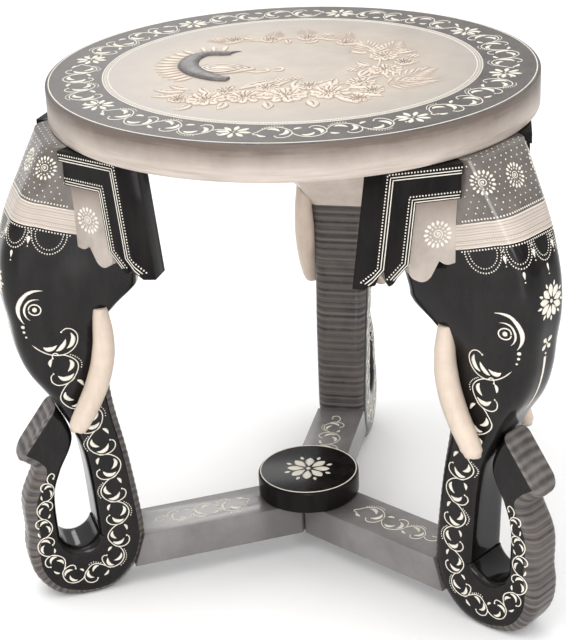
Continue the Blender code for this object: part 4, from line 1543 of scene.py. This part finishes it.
def head_ray(turn, z):
    """A ray toward the head's axis from an angle round it."""
    aim = Vector((math.cos(turn), math.sin(turn), 0.0))
    return Vector((WRAP_X, 0.0, min(z, SEAT - FACE_SLACK))) + aim * 0.2, -aim


def head_table(tree):
    """Distance round the head from the middle of its front, and height, by slanting level and by angle."""
    lengths, heights = [], []
    for level in HEAD_LEVELS:
        spots = []
        for turn in HEAD_TURNS:
            z = level
            for _ in range(4):
                spot = tree.ray_cast(*head_ray(turn, z), 0.5)[0]
                z = level + BAND_RISE * (spot.x - RIM)
            spots.append(spot)
        steps = [(b - a).length for a, b in zip(spots, spots[1:])]
        lengths.append(np.concatenate([[0.0], np.cumsum(steps)]))
        heights.append([spot.z for spot in spots])
    return np.array(lengths), np.array(heights)


def table_row(table, level):
    """The row of a table of levels at one level."""
    row = np.interp(level, HEAD_LEVELS, np.arange(len(HEAD_LEVELS)))
    low = min(int(row), len(HEAD_LEVELS) - 2)
    return between(table[low], table[low + 1], row - low)


def head_sheet(lengths):
    """The brushwork round the head: distance from the middle of its front, and slanting level."""
    sizes = settings()[0]
    sheet = Sheet()

    def span(level):
        return float(np.interp(HEAD_SPAN, HEAD_TURNS, table_row(lengths, level)))

    def pendant(x, drop, length, width, dot_drop):
        sheet.leaf(x, BAND_LOW - drop, -math.pi / 2, length, width, 0.0, 0.6)
        sheet.dot(x, BAND_LOW - dot_drop, sizes.dot * 0.9)

    for level, gap, radius in BAND_DOTS:
        sheet.dots([(-span(level), level), (span(level), level)], sizes.dot * gap, sizes.dot * radius)
    for level in BAND_LINES:
        sheet.line([(x, level) for x in np.linspace(-span(level), span(level), 60)], sizes.line * 0.7, 0.0)
    rng = np.random.default_rng(7)
    for row in range(9):
        for column in range(-10, 11):
            x = (column + 0.5 * (row % 2)) * CLOTH_DOT_GAP + rng.uniform(-0.0006, 0.0006)
            z = CLOTH_LOW + CLOTH_DOT_LOW + row * CLOTH_DOT_RISE + rng.uniform(-0.0004, 0.0004)
            clear = all(math.hypot(x - bx, z - bz) > FLOWER_ROOM for bx, bz in CLOTH_FLOWERS)
            if clear and abs(x) < span(z):
                sheet.dot(x, z, sizes.dot * rng.uniform(0.75, 1.0))
    for x, z in CLOTH_FLOWERS:
        sheet.spiral_flower(x, z, *CLOTH_FLOWER)
    reach = span(BAND_LOW)
    for i, (left, right) in enumerate(zip(SWAG_EDGES, SWAG_EDGES[1:])):
        x, swag = reach * (left + right) / 2, reach * (right - left)
        share = np.sin(np.linspace(-math.pi / 2, math.pi / 2, 30))
        for depth, half, radius in SWAG_ROWS:
            drop = SWAG_DROP + depth * np.sqrt(1 - share**2)
            row = np.stack([x + swag * half * share, BAND_LOW - drop], 1)
            sheet.dots(row, sizes.dot * 2.7, sizes.dot * radius)
        if abs(x) < reach / 2:
            pendant(x, *SWAG_PENDANT)
        if i:
            sheet.dot(reach * left, BAND_LOW - EDGE_DOT, sizes.dot)
            pendant(reach * left, *EDGE_PENDANT)
    return sheet


def crown_sheet():
    """Dots on the part of a head's flat top that shows beyond the table's rim: outward and across."""
    dot = settings()[0].dot
    sheet = Sheet()
    for out, half, shift in CROWN_DOTS:
        for y in np.arange(-half + shift, half, CLOTH_DOT_GAP):
            sheet.dot(RIM + out, y, dot * 0.9)
    return sheet


# Flowers down a forehead: height, radius, petals, petal width, hub, turn and the petals' inner share
BROW_FLOWER = (-0.1340, 0.0130, 9, 0.0058, 0.0018, 0.2, 0.26)
TRUNK_FLOWER = (-0.1680, 0.0068, 4, 0.0040, 0.0010, math.pi / 4, 0.20)

# Small leaves round the upper flower: height, radius, count, turn, length and width; and the line below
BROW_LEAVES = (-0.1340, 0.0112, 9, 0.2, 0.0042, 0.0022)
TAIL_TOP, TAIL_LENGTH, TAIL_WIDE, TAIL_FINE, TAIL_DOT = -0.1790, 0.0500, 0.0012, 0.0003, (-0.1765, 0.0011)


def front_sheet():
    """The brushwork of the forehead and the trunk's front: across and up."""
    sheet = Sheet()
    sheet.flower(0.0, *BROW_FLOWER)
    sheet.between_petals(0.0, *BROW_LEAVES)
    sheet.flower(0.0, *TRUNK_FLOWER)
    t = np.linspace(0.0, 1.0, 16)
    sheet.stroke(np.stack([0.0 * t, TAIL_TOP - TAIL_LENGTH * t], 1), TAIL_WIDE * (1 - t) + TAIL_FINE)
    sheet.dot(0.0, *TAIL_DOT)
    return sheet


def leg_paint(leg):
    """Lay the brushwork on one leg and copy it to all three."""
    sizes = settings()[0]
    tree = surface(leg)

    def from_side(x, z):
        return Vector((x, 0.2, z)), Vector((0.0, -1.0, 0.0))

    def from_front(y, z):
        return Vector((0.5, y, z)), Vector((-1.0, 0.0, 0.0))

    lengths, heights = head_table(tree)

    def round_head(x, level):
        turn = float(np.interp(abs(x), table_row(lengths, level), HEAD_TURNS))
        z = float(np.interp(turn, HEAD_TURNS, table_row(heights, level)))
        return head_ray(math.copysign(turn, x), z)

    side = mirror_join("side", laid("side", side_sheet(), from_side, tree, sizes.paint))
    head = laid("head", head_sheet(lengths), round_head, tree, sizes.paint)
    front = laid("front", front_sheet(), from_front, tree, sizes.paint)
    crown = laid("crown", crown_sheet(), downward(0.0), tree, sizes.paint)
    paint = joined("leg_brushwork", [side, head, front, crown])
    for where, angle in LEG_ANGLES.items():
        piece = turned_copy(paint, f"{where}_leg_brushwork", angle)
        fitted(piece, "ivory_paint", kept(white_brushwork))
    dropped(paint)


def ear_paint(ear, turn):
    """Lines and dots along the steps of an ear and a flower on its panel, in the leg's frame."""
    sizes = settings()[0]
    sheet = Sheet()
    for band in EAR_BANDS:
        for offset in EAR_LINES:
            sheet.line(corners_kept(step_line(band, offset), 0.002), sizes.line * 0.85, 0.0)
        sheet.dots(step_line(band, EAR_DOT_LINE), sizes.dot * 3.0, sizes.dot * 0.95)
    sheet.spiral_flower(*EAR_FLOWER)
    mesh = ear.data.copy()
    mesh.transform((turn @ ear_matrix()).inverted())
    flat = bpy.data.objects.new("flat_ear", mesh)
    tree = surface(flat)
    dropped(flat)
    paint = laid("ear_brushwork", sheet, downward(0.1), tree, sizes.paint)
    paint.data.transform(ear_matrix())
    return paint


def corners_kept(points, gap):
    """A line cut into short steps with its corners kept."""
    pieces = [evenly(np.array([a, b]), gap)[:-1] for a, b in zip(points, points[1:])]
    return np.concatenate(pieces + [np.asarray(points)[-1:]])


# A stretcher arm's scroll: its line, and the length and half width of its first and last lobe
ARM_VINE = [(0.0560, 0.0), (0.0950, 0.0005), (0.1250, 0.0)]
ARM_PITCH, ARM_REACH = (0.0260, 0.0210), (0.0118, 0.0094)


def arm_paint():
    """A scroll along one stretcher arm, in the leg's frame."""
    sheet = Sheet()
    sheet.vine(ARM_VINE, ARM_PITCH, ARM_REACH)
    return flat_paint("arm_brushwork", sheet, ARM_TOP, settings()[0].paint)


# The boss's flower: radius, petals, petal width, hub, turn, inner share; and the small leaves round it
BOSS_RING = BOSS_HIGH.x - 0.0020
BOSS_FLOWER = (0.0180, 8, 0.0078, 0.0022, 0.1, 0.24)
BOSS_LEAVES = (0.0162, 8, 0.1, 0.0052, 0.0034, 1.0)


def boss_paint():
    """The boss's rim line and flower."""
    sizes = settings()[0]
    sheet = Sheet()
    sheet.line(arc(0.0, 0.0, BOSS_RING, 0, 360, 97), sizes.line * 1.1, 0.0)
    sheet.flower(0.0, 0.0, *BOSS_FLOWER)
    sheet.between_petals(0.0, 0.0, *BOSS_LEAVES)
    return flat_paint("boss_brushwork", sheet, BOSS_HIGH.z, sizes.paint)


# Rings of the top, outward from the cream field or inward from the rim, and the border between them
FIELD_RING, FIELD_DOTS, BORDER_RING, RIM_RING = 0.0004, 0.0025, 0.0046, 0.0028
BORDER_RADIUS = 0.1645
BORDER_START = math.radians(-2.3)
BORDER_PITCH, BORDER_REACH = (0.0250, 0.0250), (0.0125, 0.0125)

# A daisy of the border: radius, petals, petal width and hub; and the room left beside it
DAISY, DAISY_INNER, DAISY_ROOM = (0.0125, 8, 0.0042, 0.0008), 0.24, 0.004


def top_border():
    """Rings, daisies and scrolls on the top's grey border."""
    sizes = settings()[0]
    sheet = Sheet()
    field = sizes.field
    for radius, width in ((RIM - RIM_RING, 1.1), (field + FIELD_RING, 1.0), (field + BORDER_RING, 0.9)):
        sheet.line(arc(0.0, 0.0, radius, 0, 360, 181), sizes.line * width, 0.0)
    sheet.dots(arc(0.0, 0.0, field + FIELD_DOTS, 0, 360, 361), sizes.dot * 2.6, sizes.dot * 0.7)
    step = 2 * math.pi / sizes.daisies
    gap = (DAISY[0] + DAISY_ROOM) / BORDER_RADIUS
    for i in range(sizes.daisies):
        turn = BORDER_START + step * i
        sheet.flower(*ahead(0.0, 0.0, turn, BORDER_RADIUS), *DAISY, turn, DAISY_INNER)
        start, stop = math.degrees(turn + gap), math.degrees(turn + step - gap)
        sheet.vine(arc(0.0, 0.0, BORDER_RADIUS, start, stop, 40), BORDER_PITCH, BORDER_REACH)
    return flat_paint("top_border_brushwork", sheet, TOP_HIGH.z, sizes.paint)


# Moulded ornament of the top, drawn in millimetres and radians as seen from the front

ORNAMENT_TURN = 0.2189
STEM = [
    (-84, -58), (-66, -66), (-37, -63), (-6, -61), (25, -58), (52, -42), (66, -8), (67, 22), (58, 50),
    (34, 72), (2, 82), (-30, 78), (-52, 82),
]
BLOOMS = [
    (-64, -80, 16), (-36, -78, 15), (-5, -78, 18), (26, -75, 16), (70, -21, 14), (71, 17, 12), (44, 62, 9),
    (14, 82, 9), (-17, 80, 9), (-50, -60, 9), (-19, -57, 10), (12, -56, 10), (47, -92, 9), (-84, -77, 9),
    (58, -74, 10), (50, -52, 12), (86, -2, 9), (-46, 84, 8),
]
LEAVES = [
    (-80, -58, 2.85, 25, 8), (-82, -64, 3.30, 23, 8), (-76, -54, 2.45, 22, 7), (-74, -92, 3.9, 17, 8),
    (-50, -90, -1.9, 17, 9), (-21, -93, -1.45, 18, 9), (10, -92, -1.35, 20, 10), (31, -88, -0.85, 23, 10),
    (42, -80, -0.40, 25, 11), (40, -66, 0.02, 27, 11), (-62, -66, 1.95, 19, 8), (-49, -64, 1.25, 17, 8),
    (-40, -58, 0.55, 37, 9), (-20, -62, 0.85, 30, 8), (1, -62, 1.30, 22, 9), (15, -62, 0.75, 25, 10),
    (29, -60, 1.35, 21, 10), (45, -50, 0.55, 25, 9), (50, -38, 1.10, 22, 8), (60, -10, 2.2, 18, 7),
    (82, -12, 0.55, 19, 7), (60, 27, 2.5, 17, 7), (82, 22, 0.35, 18, 7), (54, 56, 2.9, 15, 6),
    (36, 70, 2.4, 15, 6), (22, 74, -2.4, 15, 6), (-4, 78, -1.5, 14, 6), (-30, 82, 2.2, 16, 6),
    (-42, 78, 3.3, 17, 6),
]
FANS = [
    (70, -60, 0.20, 42), (74, -50, 0.72, 46), (64, 26, 1.72, 44), (70, 24, 1.15, 42), (40, 72, 1.25, 26),
    (14, 92, 1.70, 22), (-14, 88, 1.45, 22), (-38, 80, 2.6, 22), (-52, 82, 3.0, 18),
]
BUDS = [(46, -18), (88, 30), (-9, -38), (2, -34), (30, 88), (94, 14), (-60, 88), (52, -10)]
NECK = [
    (-49, -31, 4.4), (-57, -27.5, 5.4), (-67, -18, 7.0), (-76, -4, 8.4), (-81, 14, 8.4), (-78, 31, 6.8),
    (-70, 42, 5.0), (-61, 44, 4.4), (-54, 43, 4.8), (-48, 42, 3.2),
]
BEAK = [(-49, 44, 2.0), (-45, 47, 1.7), (-40, 49, 0.4)]
CURLS = [
    [(-40, -6), (-31, -13), (-23, -14), (-18, -10), (-21, -7), (-24, -9)],
    [(-15, -13), (-9, -12), (-7, -7), (-11, -4), (-14, -7)],
]

# A bloom's rounds from the lowest: petals, then their inner end, outer end and width as shares of the radius
BLOOM_ROUNDS = [(10, 0.40, 1.0, 0.50), (8, 0.18, 0.70, 0.40), (5, 0.02, 0.40, 0.30)]

# The bird's wing, in metres: place, heading, length and width
WING = (-0.0750, 0.0015, -0.14, 0.0470, 0.0290)

# Half widths of painted creases, midribs, side veins and wing lines, then of raised stems, in metres
CREASE, MIDRIB, SIDE_VEIN, WING_LINE = 0.00052, 0.00056, 0.00026, 0.00060
STEM_HALF, FAN_RIB, CURL_HALF = 0.0012, 0.0007, 0.0014

# A bud's ring of dots with its heart, and the feathers of the mane, in metres
BUD_RING, BUD_DOT, BUD_HEART = 0.0036, 0.0017, 0.0020
FEATHERS, FEATHER_LENGTH, FEATHER_WIDTH = 15, 0.0205, 0.0044


def millimetres(rows):
    """Rows of numbers in millimetres, as metres."""
    return np.asarray(rows, float) * 0.001


def bloom(sheets, veins, x, y, radius):
    """A full bloom: three rounds of petals, each higher than the last, with a crease in each petal."""
    for sheet, (petals, inner, outer, width) in zip(sheets, BLOOM_ROUNDS):
        for i in range(petals):
            turn = 2 * math.pi * (i + 0.5 * (petals % 3)) / petals + 0.08 * math.sin(5.0 * i + radius * 900)
            reach = outer * (1.0 + 0.07 * math.sin(7.0 * i + x * 300))
            root = ahead(x, y, turn, inner * radius)
            sheet.leaf(*root, turn, (reach - inner) * radius, width * radius, 0.0, 1.55)
            shares = np.linspace(inner + 0.08, reach - 0.14, 6)
            veins.line([ahead(x, y, turn, radius * share) for share in shares], CREASE, 0.2)


def broad_leaf(low, veins, x, y, heading, length, width):
    """A broad leaf with a midrib and side veins."""
    low.leaf(x, y, heading, length, width, 0.08, 0.85)

    def on_rib(share):
        spot = ahead(x, y, heading, length * share)
        return ahead(*spot, heading + math.pi / 2, 0.08 * length * math.sin(math.pi * share))

    for share in (0.30, 0.50, 0.68):
        spot = on_rib(share)
        for hand in (1.0, -1.0):
            tip = ahead(*spot, heading + hand * 0.75, width * 0.30)
            veins.line(evenly([spot, tip], 0.001), SIDE_VEIN, 0.2)
    veins.line([on_rib(share) for share in np.linspace(0.10, 0.86, 9)], MIDRIB, 0.3)


def fan(low, middle, x, y, heading, length):
    """A feathery spray: long narrow leaflets splayed along a rib."""
    rib = np.array([ahead(x, y, heading, length * share) for share in np.linspace(0.0, 0.62, 8)])
    middle.line(rib, FAN_RIB, 0.1)
    for share in np.linspace(0.0, 1.0, 7):
        for hand in (1.0, -1.0):
            splay = heading + hand * (1.05 - 0.82 * share)
            spot = ahead(x, y, heading, 0.60 * length * share)
            low.leaf(*spot, splay, length * (0.50 - 0.10 * share), length * 0.060, 0.06 * hand, 1.15)


def bird_wing(middle, high, veins):
    """The bird's wing with nested outlines, and the curls behind it."""
    x, y, heading, length, width = WING
    middle.leaf(x, y, heading, length, width, 0.0, 0.75)
    for inset in (0.10, 0.24, 0.38):
        share = np.linspace(0.0, 1.0, 16)
        along = length * (inset * 0.6 + (1.0 - 1.4 * inset) * share)
        half = width / 2 * (1.0 - 1.9 * inset) * np.sin(math.pi * share**0.75)
        for hand in (1.0, -1.0):
            spine = [ahead(x, y, heading, u) for u in along]
            row = [ahead(*spot, heading + math.pi / 2, hand * v) for spot, v in zip(spine, half)]
            veins.line(row, WING_LINE, 0.0)
    for curl in CURLS:
        high.line(smooth_path(millimetres(curl), 6), CURL_HALF, 0.2)


def raised_garland():
    """The cream ornament: a garland of blooms, leaves and sprays, and the bird's wing and mane."""
    low, middle, high = sheets = [Sheet(), Sheet(), Sheet()]
    veins = Sheet()
    low.line(smooth_path(millimetres(STEM), 8), STEM_HALF, 0.1)
    for x, y, heading, *spans in LEAVES:
        broad_leaf(low, veins, *millimetres([x, y]), heading, *millimetres(spans))
    for x, y, heading, length in FANS:
        fan(low, middle, *millimetres([x, y]), heading, length * 0.001)
    for x, y, radius in millimetres(BLOOMS):
        bloom(sheets, veins, x, y, radius)
    for x, y in millimetres(BUDS):
        for i in range(6):
            low.dot(*ahead(x, y, 1.05 * i, BUD_RING), BUD_DOT)
        middle.dot(x, y, BUD_HEART)
    neck = smooth_path(millimetres(NECK), 10)
    points, tangents, _ = walked(neck[:, :2], 0.0005)
    widths = np.interp(np.linspace(0, 1, len(points)), np.linspace(0, 1, len(neck)), neck[:, 2])
    for spot in np.linspace(0.24, 0.93, FEATHERS) * len(points):
        heading = math.atan2(tangents[int(spot)][1], tangents[int(spot)][0]) + math.pi / 2
        start = ahead(*points[int(spot)], heading, widths[int(spot)] * 0.8)
        low.leaf(*start, heading, FEATHER_LENGTH, FEATHER_WIDTH, 0.05, 1.1)
    bird_wing(middle, high, veins)
    sizes = settings()[0]
    pieces = []
    for sheet, share in zip(sheets, (0.60, 0.80, 1.0)):
        pieces.append(flat_paint("garland", sheet, TOP_HIGH.z, sizes.relief * share, 2))
    garland = joined("garland", pieces)
    garland.data.materials.append(kept(raised_cream))
    lines = laid("veins", veins, downward(0.05), surface(garland), sizes.paint * 0.5)
    lines.data.materials.append(kept(brown_line))
    return turned_ornament(joined("top_garland_relief", [garland, lines]))


def raised_bird():
    """The bird's grey neck, head and beak."""
    sheet = Sheet()
    for rows in (NECK, BEAK):
        rows = smooth_path(millimetres(rows), 10)
        sheet.stroke(rows[:, :2], rows[:, 2])
    bird = flat_paint("top_bird_relief", sheet, TOP_HIGH.z, settings()[0].relief * 1.1, 3)
    return turned_ornament(bird)


def turned_ornament(obj):
    """Turn an ornament from the viewer's axes to the table's."""
    obj.data.transform(Matrix.Rotation(ORNAMENT_TURN, 4, "Z"))
    return obj


# Stage

FLOOR_SIZE, FLOOR_GAP = 14.0, 0.0005


def area_light(name, place, aim, width, height, power):
    """A soft lamp aimed at a point."""
    lamp = bpy.data.lights.new(name, "AREA")
    lamp.shape = "RECTANGLE"
    lamp.size, lamp.size_y = width, height
    lamp.energy = power
    obj = bpy.data.objects.new(name, lamp)
    obj.location = place
    obj.rotation_euler = (Vector(aim) - Vector(place)).to_track_quat("-Z", "Y").to_euler()
    bpy.context.scene.collection.objects.link(obj)
    return obj


def white_dome(stage):
    """A white surround that is brightest overhead."""
    world = bpy.data.worlds.new("surround")
    world.use_nodes = True
    tree = world.node_tree
    split = tree.nodes.new("ShaderNodeSeparateXYZ")
    tree.links.new(tree.nodes.new("ShaderNodeTexCoord").outputs["Generated"], split.inputs[0])
    ramp = tree.nodes.new("ShaderNodeMapRange")
    tree.links.new(split.outputs["Z"], ramp.inputs["Value"])
    span = {"From Min": 0.05, "From Max": 0.80, "To Min": stage.horizon, "To Max": stage.sky}
    for key, value in span.items():
        ramp.inputs[key].default_value = value
    background = tree.nodes["Background"]
    background.inputs["Color"].default_value = (1.0, 1.0, 1.0, 1.0)
    tree.links.new(ramp.outputs[0], background.inputs["Strength"])
    return world


class TABLE_OT_stage(bpy.types.Operator):
    """Lay the floor and set the lights and the camera"""

    bl_idname = "side_table.stage"
    bl_label = "Stage"

    def execute(self, context):
        stage = settings()[2]
        scene = context.scene
        scene.view_settings.view_transform = "Standard"
        bpy.ops.object.select_all(action="DESELECT")
        bpy.ops.mesh.primitive_plane_add(size=FLOOR_SIZE, location=(0.0, 0.0, FLOOR - FLOOR_GAP))
        floor = context.object
        floor.name = "floor"
        bpy.ops.object.transform_apply(location=True, rotation=True, scale=True)
        floor.data.materials.append(kept(studio_floor))
        scene.world = white_dome(stage)
        area_light("overhead", (-0.5, -0.6, 1.5), (0.0, 0.0, -0.1), 1.4, 1.4, stage.key)
        area_light("front", (0.9, -1.6, 0.5), (0.0, 0.0, -0.25), 1.2, 1.2, stage.fill)
        area_light("strip", (0.24, -1.46, 0.10), (0.16, -0.12, -0.12), 0.34, 0.9, stage.strip)
        area_light("back", (-0.88, 2.42, 1.12), (-0.10, -0.05, -0.37), 0.8, 0.45, stage.back)
        scene.camera = photo_camera(stage)
        return {"FINISHED"}


def photo_camera(stage):
    """The camera at the photograph's viewpoint."""
    data = bpy.data.cameras.new("photo_camera")
    data.sensor_fit = "VERTICAL"
    data.sensor_height = 36.0
    data.lens = stage.lens
    data.shift_x, data.shift_y = stage.shift_x, stage.shift_y
    data.clip_start = 0.02
    data.dof.use_dof = False
    level = math.cos(stage.pitch)
    aim = Vector((math.sin(stage.yaw) * level, math.cos(stage.yaw) * level, -math.sin(stage.pitch)))
    right = aim.cross(Vector((0.0, 0.0, 1.0))).normalized()
    up = right.cross(aim)
    tilt_right = right * math.cos(stage.roll) + up * math.sin(stage.roll)
    tilt_up = up * math.cos(stage.roll) - right * math.sin(stage.roll)
    axes = Matrix((tilt_right, tilt_up, -aim)).transposed().to_4x4()
    turn = Matrix.Rotation(stage.turn, 4, "Z")
    camera = bpy.data.objects.new("photo_camera", data)
    bpy.context.scene.collection.objects.link(camera)
    camera.matrix_world = turn @ Matrix.Translation((0.0, -stage.distance, stage.height)) @ axes
    return camera


class TABLE_PT_panel(bpy.types.Panel):
    """Pieces of the side table"""

    bl_label = "Side table"
    bl_idname = "TABLE_PT_panel"
    bl_space_type = "VIEW_3D"
    bl_region_type = "UI"
    bl_category = "Side table"

    def draw(self, context):
        for operator in OPERATORS:
            self.layout.operator(operator.bl_idname)


OPERATORS = (
    TABLE_OT_stage,
    TABLE_OT_top,
    TABLE_OT_legs,
    TABLE_OT_ears,
    TABLE_OT_tusks,
    TABLE_OT_stretcher,
    TABLE_OT_fasteners,
)
CLASSES = (TableSizes, TableColours, TableStage, *OPERATORS, TABLE_PT_panel)


def register():
    """Register the classes and the scene's settings."""
    for cls in CLASSES:
        bpy.utils.register_class(cls)
    bpy.types.Scene.table_sizes = PointerProperty(type=TableSizes)
    bpy.types.Scene.table_colours = PointerProperty(type=TableColours)
    bpy.types.Scene.table_stage = PointerProperty(type=TableStage)


def unregister():
    """Remove the settings and the classes."""
    del bpy.types.Scene.table_stage
    del bpy.types.Scene.table_colours
    del bpy.types.Scene.table_sizes
    for cls in reversed(CLASSES):
        bpy.utils.unregister_class(cls)


def main():
    """Register the settings and make every piece in order."""
    register()
    bpy.ops.side_table.stage()
    bpy.ops.side_table.top()
    bpy.ops.side_table.legs()
    bpy.ops.side_table.ears()
    bpy.ops.side_table.tusks()
    bpy.ops.side_table.stretcher()
    bpy.ops.side_table.fasteners()


if __name__ == "__main__":
    main()
